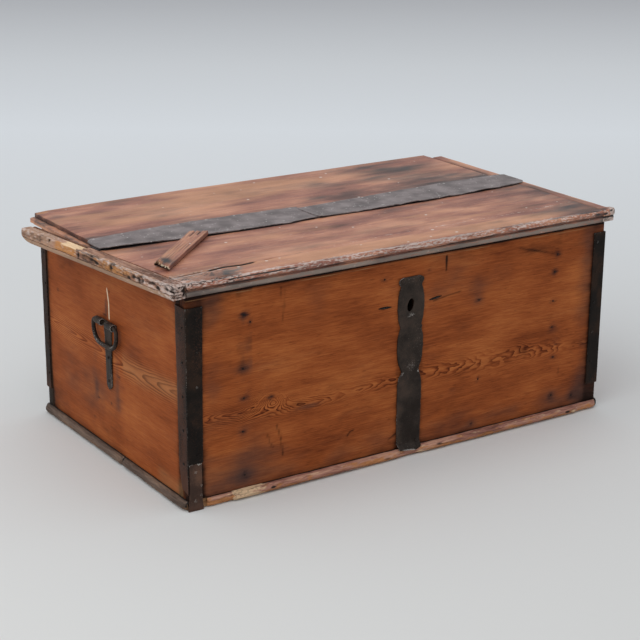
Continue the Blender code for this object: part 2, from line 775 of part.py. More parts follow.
front_lid_board = edge_bar("front_lid_board", lid_left_limit, right_shoulder, JOINT_LINE - FIT / 2)
shoulder_cutter = clamp_block(
    "front_board_shoulder", (-clamp_room, -clamp_room, -clamp_room), (FIT, clamp_room, clamp_room)
)
cut(front_lid_board, shoulder_cutter)
front_tongue = block(
    "front_board_tongue",
    (lid_left_limit, LID_FRONT + TONGUE_SETBACK, tongue_foot),
    (right_tongue_end, JOINT_LINE - FIT / 2 - ARRIS, tongue_top),
)
tongue_cutter = clamp_block(
    "front_tongue_end",
    (-clamp_room, -clamp_room, -clamp_room),
    (-LEFT_TONGUE + FIT, clamp_room, clamp_room),
)
cut(front_tongue, tongue_cutter)
join(front_lid_board, front_tongue)
finish_piece(front_lid_board, LID_PINE)

rear_lid_board = block(
    "rear_lid_board", (left_shoulder, JOINT_LINE + FIT / 2, LID_UNDER), (right_shoulder, BACK, LID_TOP)
)
ease(rear_lid_board)
rear_tongue = block(
    "rear_board_tongue",
    (left_tongue_end, JOINT_LINE + FIT / 2 + 2 * ARRIS, tongue_foot),
    (right_tongue_end, BACK - 2 * ARRIS, tongue_top),
)
join(rear_lid_board, rear_tongue)
finish_piece(rear_lid_board, LID_PINE)

# Right clamp: carries the moulded edge across its front end and stops short of the rear
right_clamp = edge_bar(
    "right_lid_clamp", right_shoulder + FIT, RIGHT + RIGHT_OVERHANG, BACK - RIGHT_CLAMP_SHORTFALL
)
right_groove = block(
    "right_clamp_groove",
    (right_shoulder - REACH, LID_FRONT + GROOVE_SETBACK, tongue_foot - FIT),
    (right_tongue_end + FIT, BACK + REACH, tongue_top + FIT),
)
finish_piece(cut(right_clamp, right_groove), LID_PINE)

# Left clamp: grooved for the tongue, its upper layer missing behind the sound length
left_clamp = clamp_block(
    "left_lid_clamp", (-LEFT_CLAMP_WIDTH, 0, -LEFT_CLAMP_THICKNESS), (0, LEFT_CLAMP_LENGTH, 0)
)
ease(left_clamp)
left_groove = clamp_block(
    "left_clamp_groove",
    (-LEFT_TONGUE, GROOVE_SETBACK - NOSE_DEPTH, -TONGUE_BELOW_TOP - TONGUE_THICKNESS - FIT),
    (REACH, LEFT_CLAMP_LENGTH + REACH, -TONGUE_BELOW_TOP + FIT),
)
cut(left_clamp, left_groove)
broken_layer = clamp_block(
    "left_clamp_break",
    (-LEFT_CLAMP_WIDTH - REACH, SOUND_LENGTH, -BREAK_DEPTH),
    (REACH, LEFT_CLAMP_LENGTH + REACH, REACH),
)
cut(left_clamp, broken_layer)
end_taper = block(
    "left_clamp_end_taper",
    (-LEFT_CLAMP_WIDTH, -CLAMP_END_REACH, -LEFT_CLAMP_THICKNESS),
    (LEFT_CLAMP_WIDTH, CLAMP_END_REACH, 0),
)
end_taper.matrix_world = (
    clamp_turn
    @ Matrix.Translation((-LEFT_CLAMP_WIDTH, LEFT_CLAMP_LENGTH, -LEFT_CLAMP_THICKNESS))
    @ Matrix.Rotation(CLAMP_END_RAKE, 4, "X")
    @ Matrix.Translation((0, 0, -LEFT_CLAMP_THICKNESS / 2))
)
cut(left_clamp, end_taper)
finish_piece(left_clamp, GREY_PINE)

# Sheet-iron patch over the joint, in two lengths that butt
patch_near = FRONT + PATCH_FROM_FRONT
patch_far = patch_near + PATCH_WIDTH
patch_left = LEFT - PATCH_LEFT_REACH
patch_right = RIGHT + PATCH_RIGHT_REACH
patch_butt = LEFT + PATCH_BUTT
patch_middle = Matrix.Translation((0, 0, LID_TOP + FIT + PATCH_SHEET / 2))
left_patch = plate(
    "left_lid_patch",
    [
        (patch_left + PATCH_CHAMFER / 2, patch_near),
        (patch_butt - FIT / 2, patch_near),
        (patch_butt - FIT / 2, patch_far),
        (patch_left + PATCH_CHAMFER / 2, patch_far),
        (patch_left, patch_near + PATCH_CHAMFER),
    ],
    PATCH_SHEET,
    patch_middle,
)
finish_piece(left_patch, SHEET_IRON)
right_patch = plate(
    "right_lid_patch",
    [
        (patch_butt + FIT / 2, patch_near),
        (patch_right - PATCH_CHAMFER, patch_near),
        (patch_right, patch_near + PATCH_CHAMFER / 2),
        (patch_right, patch_far),
        (patch_butt + FIT / 2, patch_far),
    ],
    PATCH_SHEET,
    patch_middle,
)
finish_piece(right_patch, SHEET_IRON)

# Broken piece: lies on the lid with its far end on the edge of the patch
half_length = FRAGMENT_LENGTH / 2
half_width = FRAGMENT_WIDTH / 2
fragment_outline = [
    (-half_length, half_width),
    (-half_length + FRAGMENT_SKEW, -half_width),
    (half_length, -half_width + FRAGMENT_SKEW / 2),
    (half_length - FRAGMENT_SKEW, half_width),
]
fragment_x = LEFT + FRAGMENT_FROM_LEFT
fragment_y = FRONT + FRAGMENT_FROM_FRONT
nearest_to_patch = patch_near - fragment_y - half_width * math.cos(FRAGMENT_TURN)
edge_distance = nearest_to_patch / math.sin(FRAGMENT_TURN)
fragment_rise = PATCH_SHEET + 2 * FIT
fragment_tilt = math.atan2(fragment_rise, half_length + edge_distance)
fragment_lift = FIT + half_length * math.sin(fragment_tilt) + FRAGMENT_THICKNESS / 2
fragment = plate(
    "broken_clamp_piece",
    fragment_outline,
    FRAGMENT_THICKNESS,
    Matrix.Translation((fragment_x, fragment_y, LID_TOP + fragment_lift))
    @ Matrix.Rotation(FRAGMENT_TURN, 4, "Z")
    @ Matrix.Rotation(-fragment_tilt, 4, "Y"),
)
finish_piece(fragment, LID_PINE)

# Staple under the lid: a plate with a hanging eye that the bolt passes through
staple_plate_top = LID_UNDER - FIT
staple_plate_foot = staple_plate_top - STAPLE_PLATE_THICKNESS
lid_staple = block(
    "lid_staple",
    (-STAPLE_PLATE_LENGTH / 2, staple_near, staple_plate_foot),
    (STAPLE_PLATE_LENGTH / 2, staple_far, staple_plate_top),
)
shank = block(
    "staple_shank",
    (-staple_half, staple_near + FIT, bolt_middle - bolt_half_height - FIT - STAPLE_RIM),
    (staple_half, staple_far - FIT, staple_plate_foot + STAPLE_PLATE_THICKNESS / 2),
)
join(lid_staple, shank)
staple_eye = block(
    "staple_eye",
    (-staple_half - REACH, bolt_near - FIT, bolt_middle - bolt_half_height - FIT),
    (staple_half + REACH, bolt_far + FIT, bolt_middle + bolt_half_height + FIT),
)
cut(lid_staple, staple_eye)
finish_piece(lid_staple, LOCK_IRON)

# Strap hinges
axis_y = BACK + FIT + KNUCKLE_RADIUS + KNUCKLE_GAP
axis_z = LID_UNDER - FIT - HINGE_SHEET / 2
pin_bore = PIN_RADIUS + PIN_CLEARANCE
knuckle_length = HINGE_WIDTH / 3
strap_end = BACK - FIT
strap_tip = JOINT_LINE - HINGE_STRAP_PAST_JOINT
middle_half = knuckle_length / 2 - KNUCKLE_GAP
tongue_half = middle_half - KNUCKLE_GAP


def hinge(side, x):
    """Lid strap with the middle knuckle, back leaf with the outer two, and the pin through all three."""
    strap_outline = [
        (-HINGE_WIDTH / 2, strap_end - HINGE_CORNER),
        (-HINGE_STRAP_TIP / 2, strap_tip),
        (HINGE_STRAP_TIP / 2, strap_tip),
        (HINGE_WIDTH / 2, strap_end - HINGE_CORNER),
        (tongue_half, strap_end),
        (tongue_half, axis_y),
        (-tongue_half, axis_y),
        (-tongue_half, strap_end),
    ]
    strap = plate(side + "_hinge_strap", strap_outline, HINGE_SHEET, Matrix.Translation((x, 0, axis_z)))
    axis = (1, 0, 0)
    centre = (x, axis_y, axis_z)
    join(strap, rod(side + "_middle_knuckle", KNUCKLE_RADIUS, 2 * middle_half, axis, centre))
    strap_bore = rod(side + "_strap_bore", pin_bore, HINGE_WIDTH + REACH, axis, centre)
    cut(strap, strap_bore)
    finish_piece(strap, WROUGHT_IRON)

    throat = KNUCKLE_RADIUS + KNUCKLE_GAP
    half = HINGE_WIDTH / 2
    inner = knuckle_length / 2
    leaf_outline = [
        (-HINGE_LEAF_TIP / 2, -HINGE_LEAF_DROP),
        (HINGE_LEAF_TIP / 2, -HINGE_LEAF_DROP),
        (half, -throat - HINGE_CORNER),
        (half - KNUCKLE_GAP, 0),
        (inner + KNUCKLE_GAP, 0),
        (inner + KNUCKLE_GAP, -throat),
        (-inner - KNUCKLE_GAP, -throat),
        (-inner - KNUCKLE_GAP, 0),
        (-half + KNUCKLE_GAP, 0),
        (-half, -throat - HINGE_CORNER),
    ]
    leaf_middle = (x, BACK + FIT + HINGE_SHEET / 2, axis_z)
    leaf = plate(side + "_hinge_leaf", leaf_outline, HINGE_SHEET, face_frame((0, 1, 0), leaf_middle))
    for label, sign in (("left", -1), ("right", 1)):
        knuckle_centre = (x + sign * (inner + half) / 2, axis_y, axis_z)
        knuckle_name = "%s_%s_knuckle" % (side, label)
        join(leaf, rod(knuckle_name, KNUCKLE_RADIUS, half - inner, axis, knuckle_centre))
    leaf_bore = rod(side + "_leaf_bore", pin_bore, HINGE_WIDTH + REACH, axis, centre)
    cut(leaf, leaf_bore)
    finish_piece(leaf, WROUGHT_IRON)

    pin_length = HINGE_WIDTH + 2 * PIN_OVERHANG
    finish_piece(rod(side + "_hinge_pin", PIN_RADIUS, pin_length, axis, centre), WROUGHT_IRON)


for side, x in hinge_places:
    hinge(side, x)


# Nails of the straps, leaves and handles
def named(name):
    return bpy.data.objects[name]


strap_face = FRONT - FIT - STRAP_SHEET
for label, across, up in LOCK_NAILS:
    for side, sign in (("left", -1), ("right", 1)):
        point = (sign * across, strap_face, STRAP_FOOT + up)
        nail("lock_plate_nail_%s_%s" % (label, side), point, (0, -1, 0), (lock_strap, front_board))

for side, outward, face in (("left", -1, LEFT), ("right", 1, RIGHT)):
    for label, drop in HANDLE_NAILS:
        point = (face + outward * (FIT + HANDLE_SHEET), handle_y, HANDLE_HEIGHT - drop)
        holed = (named(side + "_handle_strap"), named(side + "_end_board"))
        nail("%s_handle_nail_%s" % (side, label), point, (outward, 0, 0), holed)

strap_nails = (
    ("rear", strap_end - STRAP_NAIL_FROM_REAR, rear_lid_board),
    ("front", JOINT_LINE - STRAP_NAIL_PAST_JOINT, front_lid_board),
)
for side, x in hinge_places:
    for label, y, board in strap_nails:
        point = (x, y, axis_z - HINGE_SHEET / 2)
        holed = (named(side + "_hinge_strap"), board)
        nail("%s_hinge_strap_nail_%s" % (side, label), point, (0, 0, -1), holed)
    for label, drop in LEAF_NAILS:
        point = (x, BACK + FIT + HINGE_SHEET, axis_z - drop)
        holed = (named(side + "_hinge_leaf"), back_board)
        nail("%s_hinge_leaf_nail_%s" % (side, label), point, (0, 1, 0), holed)

# Nails that hold the lock case: head on its ear, shank through the front board, end clenched outside
ear_face = case_near + CASE_WALL
clench_from = FRONT - FIT - CLENCH_PROUD / 2
clench_to = ear_face + FIT + NAIL_HEIGHT / 2
shank_length = clench_to - clench_from
for side, x in (("left", -CLENCH_REACH), ("right", CLENCH_REACH)):
    clenched = block(
        "lock_clenched_nail_" + side,
        (x - CLENCH_LENGTH / 2, FRONT - FIT - CLENCH_PROUD, KEYHOLE_HEIGHT - CLENCH_SECTION / 2),
        (x + CLENCH_LENGTH / 2, FRONT - FIT, KEYHOLE_HEIGHT + CLENCH_SECTION / 2),
    )
    through = (0, 1, 0)
    shank_middle = (x, (clench_from + clench_to) / 2, KEYHOLE_HEIGHT)
    shank_name = side + "_clench_shank"
    join(clenched, rod(shank_name, SHANK_RADIUS, shank_length, through, shank_middle, NAIL_SIDES))
    head_middle = (x, clench_to, KEYHOLE_HEIGHT)
    join(clenched, rod(side + "_clench_head", NAIL_RADIUS, NAIL_HEIGHT, through, head_middle, NAIL_SIDES))
    hole_length = shank_length + 2 * REACH
    hole_radius = SHANK_RADIUS + FIT
    clench_hole = rod(side + "_clench_hole", hole_radius, hole_length, through, shank_middle, NAIL_SIDES)
    make_tool(clench_hole)
    for other in (front_board, lock_case):
        combine(other, clench_hole, "DIFFERENCE")
    finish_piece(clenched, WROUGHT_IRON)
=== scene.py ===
import math

import bpy
import numpy as np
from mathutils import Matrix, Vector


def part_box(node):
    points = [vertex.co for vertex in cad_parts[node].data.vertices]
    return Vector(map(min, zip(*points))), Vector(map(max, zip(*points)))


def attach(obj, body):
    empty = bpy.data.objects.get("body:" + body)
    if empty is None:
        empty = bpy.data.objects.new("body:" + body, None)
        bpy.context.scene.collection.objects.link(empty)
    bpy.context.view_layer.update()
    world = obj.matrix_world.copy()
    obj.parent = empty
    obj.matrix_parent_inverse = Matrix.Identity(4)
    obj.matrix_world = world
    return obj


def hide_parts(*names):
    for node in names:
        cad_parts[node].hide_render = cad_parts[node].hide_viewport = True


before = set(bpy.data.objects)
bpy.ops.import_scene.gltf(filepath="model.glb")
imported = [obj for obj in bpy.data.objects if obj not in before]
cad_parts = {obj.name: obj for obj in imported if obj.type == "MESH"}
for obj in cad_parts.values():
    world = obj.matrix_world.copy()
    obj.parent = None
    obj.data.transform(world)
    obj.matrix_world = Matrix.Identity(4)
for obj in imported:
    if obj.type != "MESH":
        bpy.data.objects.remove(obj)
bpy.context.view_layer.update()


# Studio: a flat pale paper floor whose colour carries painted shade, greyer into the distance as the light falls
# off, soft light from a broad panel overhead and a little to the left, and a long lens from the front left, as
# furniture is shown in a catalogue.
def linear(code):
    """Linear colour from an sRGB hex value: (c + 0.055) / 1.055 to the power 2.4, a straight line near black."""
    c = np.array([int(code[at : at + 2], 16) for at in (1, 3, 5)]) / 255
    return (*np.where(c <= 0.04045, c / 12.92, ((c + 0.055) / 1.055) ** 2.4).tolist(), 1.0)


def add(tree, kind, inputs=None, stops=None, **settings):
    """Add one shader node. Settings are its properties, inputs its socket values or the sockets that feed
    them, stops the places and colours of a colour ramp. Returns its outputs."""
    node = tree.nodes.new("ShaderNode" + kind)
    for label, value in settings.items():
        setattr(node, label, value)
    for label, value in (inputs or {}).items():
        if isinstance(value, bpy.types.NodeSocket):
            tree.links.new(value, node.inputs[label])
        else:
            node.inputs[label].default_value = value
    if stops:
        ramp = node.color_ramp.elements
        ramp[0].position, ramp[0].color = stops[0]
        ramp[1].position, ramp[1].color = stops[-1]
        for place, colour in stops[1:-1]:
            ramp.new(place).color = colour
    return node.outputs


def new_material(name):
    """A material with only its Principled shader; returns the material, its node tree and that shader."""
    material = bpy.data.materials.new(name)
    material.use_nodes = True
    return material, material.node_tree, material.node_tree.nodes["Principled BSDF"]


CAMERA_PLACE = (-2.0636, -3.0826, 1.4398)
CAMERA_YAW, CAMERA_PITCH, CAMERA_ROLL = np.radians((33.656, 18.197, 0.444))
CAMERA_LENS = 94.47
level = np.array((math.sin(CAMERA_YAW), math.cos(CAMERA_YAW), 0))
sight = level * math.cos(CAMERA_PITCH) - np.array((0, 0, math.sin(CAMERA_PITCH)))
aside = np.array((math.cos(CAMERA_YAW), -math.sin(CAMERA_YAW), 0))
upward = np.cross(aside, sight)
turned = np.array(
    (
        math.cos(CAMERA_ROLL) * aside + math.sin(CAMERA_ROLL) * upward,
        math.cos(CAMERA_ROLL) * upward - math.sin(CAMERA_ROLL) * aside,
        -sight,
    )
).T
camera = bpy.data.objects.new("camera", bpy.data.cameras.new("camera"))
camera.data.lens = CAMERA_LENS
camera.matrix_world = Matrix.Translation(CAMERA_PLACE) @ Matrix(turned.tolist()).to_4x4()
bpy.context.scene.collection.objects.link(camera)
bpy.context.scene.camera = camera
bpy.context.scene.view_settings.view_transform = "Standard"

FLOOR_REACH = 25.0
floor_mesh = bpy.data.meshes.new("floor")
corners = [(x * FLOOR_REACH, y * FLOOR_REACH, 0) for x, y in ((-1, -1), (1, -1), (1, 1), (-1, 1))]
floor_mesh.from_pydata(corners, [], [(0, 1, 2, 3)])
floor = bpy.data.objects.new("floor", floor_mesh)
bpy.context.scene.collection.objects.link(floor)
# Matt background paper: no shine; its colour is painted shade, greyer with distance along the line of sight and
# a little greyer close by, in place of the light's falloff.
paper, tree, shader = new_material("matt_background_paper")
place = add(tree, "TexCoord")["Object"]
distance = add(tree, "VectorMath", {0: place, 1: tuple(level)}, operation="DOT_PRODUCT")["Value"]
share = add(tree, "MapRange", {0: distance, 1: -2.0, 2: 8.0})[0]
PAPER_PAINTED_FALLOFF = ((0.0, "#D6D5D2"), (0.30, "#DEDFDF"), (0.52, "#ECEFF2"), (0.68, "#E2E4E6"), (1.0, "#BDBDC0"))
painted_falloff = add(tree, "ValToRGB", {0: share}, stops=[(at, linear(code)) for at, code in PAPER_PAINTED_FALLOFF])[0]
tree.links.new(painted_falloff, shader.inputs["Base Color"])
shader.inputs["Roughness"].default_value = 0.9
shader.inputs["Specular IOR Level"].default_value = 0.1
floor_mesh.materials.append(paper)

world = bpy.data.worlds.new("studio")
world.use_nodes = True
world.node_tree.nodes["Background"].inputs["Color"].default_value = linear("#F2F5F8")
world.node_tree.nodes["Background"].inputs["Strength"].default_value = 0.80
bpy.context.scene.world = world
PANEL_PLACE, PANEL_AIM, PANEL_SIZE, PANEL_POWER = (-2.3, -0.7, 3.0), (0, 0, 0.2), 3.6, 46.0
panel = bpy.data.objects.new("overhead_panel", bpy.data.lights.new("overhead_panel", "AREA"))
panel.data.size = PANEL_SIZE
panel.data.energy = PANEL_POWER
panel.location = PANEL_PLACE
away = Vector(PANEL_AIM) - panel.location
panel.rotation_euler = away.to_track_quat("-Z", "Y").to_euler()
bpy.context.scene.collection.objects.link(panel)


# Bottom: three sawn pine boards laid lengthwise under the walls, never waxed, dull and dusty inside.
# Everything wooden is worked out as like grids of points, so the helpers for boards start here.
BODY_END, BODY_BACK = 0.55, 0.334
ARRIS = 0.0016
LATTICE = 64


def unevenness(u, v, size_u, size_v, seed, octaves=2):
    """Seeded smooth unevenness, about -1 to 1: random heights on a lattice of size_u by size_v cells, blended
    across each cell by 3t2 - 2t3, with finer octaves of half the size and half the height added."""
    heights = np.random.default_rng(seed).uniform(-1, 1, (LATTICE, LATTICE))
    total = 0
    for octave in range(octaves):
        p, q = np.broadcast_arrays(np.asarray(u) / size_u * 2**octave, np.asarray(v) / size_v * 2**octave)
        i, j = np.floor(p).astype(int), np.floor(q).astype(int)
        a, b = p - i, q - j
        a, b = a * a * (3 - 2 * a), b * b * (3 - 2 * b)
        i, j, ii, jj = i % LATTICE, j % LATTICE, (i + 1) % LATTICE, (j + 1) % LATTICE
        near = heights[i, j] * (1 - a) + heights[ii, j] * a
        far = heights[i, jj] * (1 - a) + heights[ii, jj] * a
        total = total + (near * (1 - b) + far * b) / 2**octave
    return total


def bell(distance, spread):
    """Bell curve: e to the minus square of distance over spread, 1 at no distance."""
    return np.exp(-((distance / spread) ** 2))


def fade(distance, reach):
    """Falling away from an edge: e to the minus distance over reach, 1 at the edge and short of it."""
    return np.exp(-np.clip(distance, 0, 1) / reach)


def stain(u, v, middle, spread):
    """Soft spot: 1 at its middle, falling as a bell curve over the two spreads."""
    return bell(u - middle[0], spread[0]) * bell(v - middle[1], spread[1])


def stains(u, v, *rows):
    """Sum of soft spots, each row giving a spot's place, its two spreads and its strength."""
    return sum(strength * stain(u, v, (a, b), (wide, tall)) for a, b, wide, tall, strength in rows)


def step(value, start, end):
    """Smooth change from 0 at start to 1 at end, by 3t2 - 2t3. End may be below start."""
    t = np.clip((value - start) / (end - start), 0, 1)
    return t * t * (3 - 2 * t)


def rounded(inset, radius):
    """How far a rounded edge falls away at a distance in from it: a quarter circle of that radius."""
    short = np.clip(radius - inset, 0, radius)
    return radius - np.sqrt(radius**2 - short**2)


def lines(low, high, pitch, *places):
    """Grid lines from low to high: about one pitch apart, closer inside both arrises, and finer round each
    place given as its middle, half width and finer pitch."""
    inside = [np.linspace(low, high, round((high - low) / pitch) + 1)[1:-1]]
    inside += [end + way * ARRIS * np.array((0.12, 0.4, 1.0)) for end, way in ((low, 1), (high, -1))]
    inside += [np.arange(middle - half, middle + half, fine) for middle, half, fine in places]
    inside = np.sort(np.concatenate(inside))
    inside = inside[(inside > low + 1e-4) & (inside < high - 1e-4)]
    inside = inside[np.diff(inside, prepend=-9.0) > 2e-4]
    return np.concatenate([[low], inside, [high]])


def outward(points, quads, caps):
    """A shape as points, quads and end polygons, turned face outwards: six times the enclosed volume is the sum
    of the triple products of every triangle's corners, and a negative one reverses all faces."""
    fans = [np.stack([np.full(len(c) - 2, c[0]), c[1:-1], c[2:]], -1) for c in caps]
    triangles = np.concatenate([quads[:, :3], quads[:, [0, 2, 3]], *fans])
    p, q, r = (points[triangles[:, corner]] for corner in range(3))
    if np.sum(p * np.cross(q, r)) < 0:
        return points, quads[:, ::-1], [c[::-1] for c in caps]
    return points, quads, caps


def slab(upper, lower, keep=None):
    """Closed sheet between two like grids of points: the cells of both, and a wall along every edge where the
    kept cells end. Cells that keep marks False are holes."""
    rows, columns = upper.shape[:2]
    keep = np.ones((rows - 1, columns - 1), bool) if keep is None else keep
    number = np.arange(rows * columns).reshape(rows, columns)
    cells = np.stack([number[:-1, :-1], number[1:, :-1], number[1:, 1:], number[:-1, 1:]], -1)
    beyond = np.pad(keep, 1)
    below = rows * columns
    quads = [cells[keep], cells[keep][:, ::-1] + below]
    for side, (down, over) in enumerate(((0, -1), (1, 0), (0, 1), (-1, 0))):
        rim = keep & ~beyond[1 + down : rows + down, 1 + over : columns + over]
        start, end = cells[..., side][rim], cells[..., (side + 1) % 4][rim]
        quads.append(np.stack([end, start, start + below, end + below], -1))
    points = np.concatenate([upper.reshape(-1, 3), lower.reshape(-1, 3)])
    return outward(points, np.concatenate(quads), [])


def board(node, axes, way, pitches, along_places=(), across_places=(), swell=0.0003, seed=1):
    """Two faces of a planed board as like grids over its length and width, inside its sawn size: each face falls
    away at the arrises and dips by a gentle unevenness. Way is the side of the first face. The last grid is 0 on
    the rim and 1 inside it, for what only the flat of a face shows."""
    low, high = (np.array(corner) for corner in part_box(node))
    along, across, deep = axes
    a, c = np.meshgrid(
        lines(low[along], high[along], pitches[0], *along_places),
        lines(low[across], high[across], pitches[1], *across_places),
        indexing="ij",
    )
    inset = np.minimum.reduce([a - low[along], high[along] - a, c - low[across], high[across] - c])
    dip = rounded(inset, ARRIS) + swell * (1 + unevenness(a, c, 0.16, 0.05, seed) / 1.5)
    faces = []
    for side in (way, -way):
        face = np.empty((*a.shape, 3))
        face[..., along], face[..., across] = a, c
        face[..., deep] = (high if side > 0 else low)[deep] - side * dip
        faces.append(face)
    return a, c, *faces, step(inset, 0.002, 0.008)


def make_piece(name, shape, material, body, stands_for=(), grain=None, paint=None, sharp=32):
    """Put a worked-out shape into a mesh at the origin, with grain and paint values on its points, shade it
    smooth between edges sharper than the angle, give it its material, and tie it to its body, hiding the CAD
    nodes it stands for."""
    points, quads, caps = shape
    used = np.unique(np.concatenate([quads.ravel(), *caps]))
    number = np.zeros(len(points), int)
    number[used] = np.arange(len(used))
    mesh = bpy.data.meshes.new(name)
    mesh.from_pydata(points[used].tolist(), [], number[quads].tolist() + [number[c].tolist() for c in caps])
    if grain is not None:
        layer = mesh.attributes.new("grain", "FLOAT_VECTOR", "POINT")
        layer.data.foreach_set("vector", np.asarray(grain)[used].astype(np.float32).ravel())
    for label, values in (paint or {}).items():
        layer = mesh.attributes.new(label, "FLOAT", "POINT")
        layer.data.foreach_set("value", np.asarray(values).ravel()[used].astype(np.float32))
    mesh.shade_smooth()
    mesh.set_sharp_from_angle(angle=math.radians(sharp))
    mesh.materials.append(material)
    piece = bpy.data.objects.new(name, mesh)
    bpy.context.scene.collection.objects.link(piece)
    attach(piece, body)
    if stands_for:
        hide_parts(*stands_for)
    return piece


# Ring width of slow northern pine is 1 to 2 mm; drawn at 3.2 mm or wider so that it shows in the picture.
def pine(
    name, tones, layers, rough, specular, variety,
    rings=0.12, ring_width=0.0032, bends=(0.024, 0.009), specks=0.0, ticks=0.0, crazed=False,
):
    """Pine with the attribute grain as place along, across and deep in the tree, in metres: growth rings are the
    distance from the pith, which is moved across by the attribute sway, deeper by rise, and bends by two noises;
    they are faint except where the attribute figure calls them out. Streaks, fibres and blotches, in the amounts
    of variety, shift the tone from light to dark along the four tones. Each layer (attribute, colour, size,
    ragged, soft) covers where the attribute, roughened by noise of that size, passes a half. Specks are pale
    spots of a few millimetres, kept off where the attribute clean is, and ticks short dark dashes. Crazed wood
    breaks into flakes of about 16 by 6 mm with dark cracks between them where the attribute craze is."""
    material, tree, shader = new_material(name)
    grain = add(tree, "Attribute", attribute_name="grain")["Vector"]

    # Noises in cells per metre along, across and deep in the tree: bends of 200 by 60 mm, ripples of 40 by 14,
    # blotches of 170 by 70, streaks of 170 by 14 and fibres of 40 by 2.3.
    noises = {}
    for label, stretch, detail in (
        ("wander", (5, 16, 16), 2),
        ("ripple", (26, 70, 70), 2),
        ("blotch", (6, 15, 15), 4),
        ("streak", (6, 70, 70), 3),
        ("fibre", (26, 430, 430), 2),
    ):
        scaled = add(tree, "VectorMath", {0: grain, 1: stretch}, operation="MULTIPLY")[0]
        noises[label] = add(tree, "TexNoise", {"Vector": scaled, "Scale": 1.0, "Detail": detail})
    sway, rise = (add(tree, "Attribute", attribute_name=label)["Fac"] for label in ("sway", "rise"))
    place = add(tree, "CombineXYZ", {1: sway, 2: rise})[0]
    place = add(tree, "VectorMath", {0: grain, 1: (0, 1, 1), 2: place}, operation="MULTIPLY_ADD")[0]
    for label, reach in zip(("wander", "ripple"), bends):
        shift = add(tree, "VectorMath", {0: noises[label][1], 1: (0.5, 0.5, 0.5)}, operation="SUBTRACT")[0]
        place = add(
            tree, "VectorMath", {0: shift, 1: (0, reach, reach), 2: place}, operation="MULTIPLY_ADD"
        )[0]
    radius = add(tree, "VectorMath", {0: place}, operation="LENGTH")["Value"]
    count = add(tree, "Math", {0: radius, 1: ring_width}, operation="DIVIDE")[0]
    ring = add(tree, "Math", {0: count}, operation="FRACT")[0]
    grey = [(0.0, 0.0), (0.4, 0.1), (0.8, 0.85), (0.92, 1.0), (1.0, 0.0)]
    late = add(tree, "ValToRGB", {0: ring}, stops=[(at, (v, v, v, 1)) for at, v in grey])[0]

    figure = add(tree, "Attribute", attribute_name="figure")["Fac"]
    amount = add(tree, "Math", {0: figure, 1: 0.78, 2: rings}, operation="MULTIPLY_ADD")[0]
    line = add(tree, "Math", {0: late, 1: 0.34}, operation="SUBTRACT")[0]
    tone = add(tree, "Math", {0: line, 1: amount, 2: 0.5 - sum(variety) / 2}, operation="MULTIPLY_ADD")[0]
    for label, amount in zip(("streak", "fibre", "blotch"), variety):
        tone = add(tree, "Math", {0: noises[label][0], 1: amount, 2: tone}, operation="MULTIPLY_ADD")[0]
    places = (0.2, 0.5, 0.74, 1.0)
    colour = add(
        tree, "ValToRGB", {0: tone}, stops=[(at, linear(code)) for at, code in zip(places, tones)]
    )[0]
    if ticks:  # cells of 22 by 3 mm
        scaled = add(tree, "VectorMath", {0: grain, 1: (45, 330, 330)}, operation="MULTIPLY")[0]
        tick = add(tree, "TexNoise", {"Vector": scaled, "Scale": 1.0, "Detail": 1.0})[0]
        tick = add(tree, "MapRange", {0: tick, 1: 0.66, 2: 0.74, 4: ticks})[0]
        colour = add(tree, "Mix", {0: tick, 6: colour, 7: linear(tones[3])}, data_type="RGBA")[2]
    for attribute, code, size, ragged, soft in layers:
        amount = add(tree, "Attribute", attribute_name=attribute)["Fac"]
        scaled = add(
            tree, "VectorMath", {0: grain, 1: (0.35 / size, 1 / size, 1 / size)}, operation="MULTIPLY"
        )[0]
        patchy = add(tree, "TexNoise", {"Vector": scaled, "Scale": 1.0, "Detail": 3.0})[0]
        patchy = add(tree, "Math", {0: patchy, 1: 0.5}, operation="SUBTRACT")[0]
        amount = add(tree, "Math", {0: patchy, 1: ragged, 2: amount}, operation="MULTIPLY_ADD")[0]
        cover = add(
            tree, "MapRange", {0: amount, 1: 0.5 - soft, 2: 0.5 + soft}, interpolation_type="SMOOTHSTEP"
        )[0]
        dark = tuple(0.72 * channel for channel in linear(code)[:3]) + (1.0,)
        paint = add(tree, "ValToRGB", {0: tone}, stops=[(0.25, linear(code)), (0.8, dark)])[0]
        colour = add(tree, "Mix", {0: cover, 6: colour, 7: paint}, data_type="RGBA")[2]
    if specks:  # one spot at most in a cell of 33 by 26 mm
        scaled = add(tree, "VectorMath", {0: grain, 1: (30, 38, 38)}, operation="MULTIPLY")[0]
        cells = add(tree, "TexVoronoi", {"Vector": scaled, "Scale": 1.0})
        lot = add(tree, "SeparateXYZ", {0: cells["Color"]})[0]
        size = add(tree, "MapRange", {0: lot, 1: 0.62, 2: 1.0, 4: 0.15})[0]
        fleck = add(tree, "Math", {0: size, 1: cells["Distance"]}, operation="SUBTRACT")[0]
        fleck = add(tree, "MapRange", {0: fleck, 1: 0.0, 2: 0.04, 4: specks})[0]
        clean = add(tree, "Attribute", attribute_name="clean")["Fac"]
        fleck = add(tree, "Math", {0: fleck, 1: clean}, operation="SUBTRACT", use_clamp=True)[0]
        colour = add(tree, "Mix", {0: fleck, 6: colour, 7: linear("#DDD3CA")}, data_type="RGBA")[2]
    if crazed:
        craze = add(tree, "Attribute", attribute_name="craze")["Fac"]
        scaled = add(tree, "VectorMath", {0: grain, 1: (62, 165, 165)}, operation="MULTIPLY")[0]
        bent = {0: noises["ripple"][1], 1: (1.6, 1.6, 1.6), 2: scaled}
        scaled = add(tree, "VectorMath", bent, operation="MULTIPLY_ADD")[0]
        split = add(tree, "TexVoronoi", {"Vector": scaled, "Scale": 1.0}, feature="DISTANCE_TO_EDGE")[0]
        split = add(tree, "MapRange", {0: split, 1: 0.02, 2: 0.13, 3: 1.0, 4: 0.0})[0]
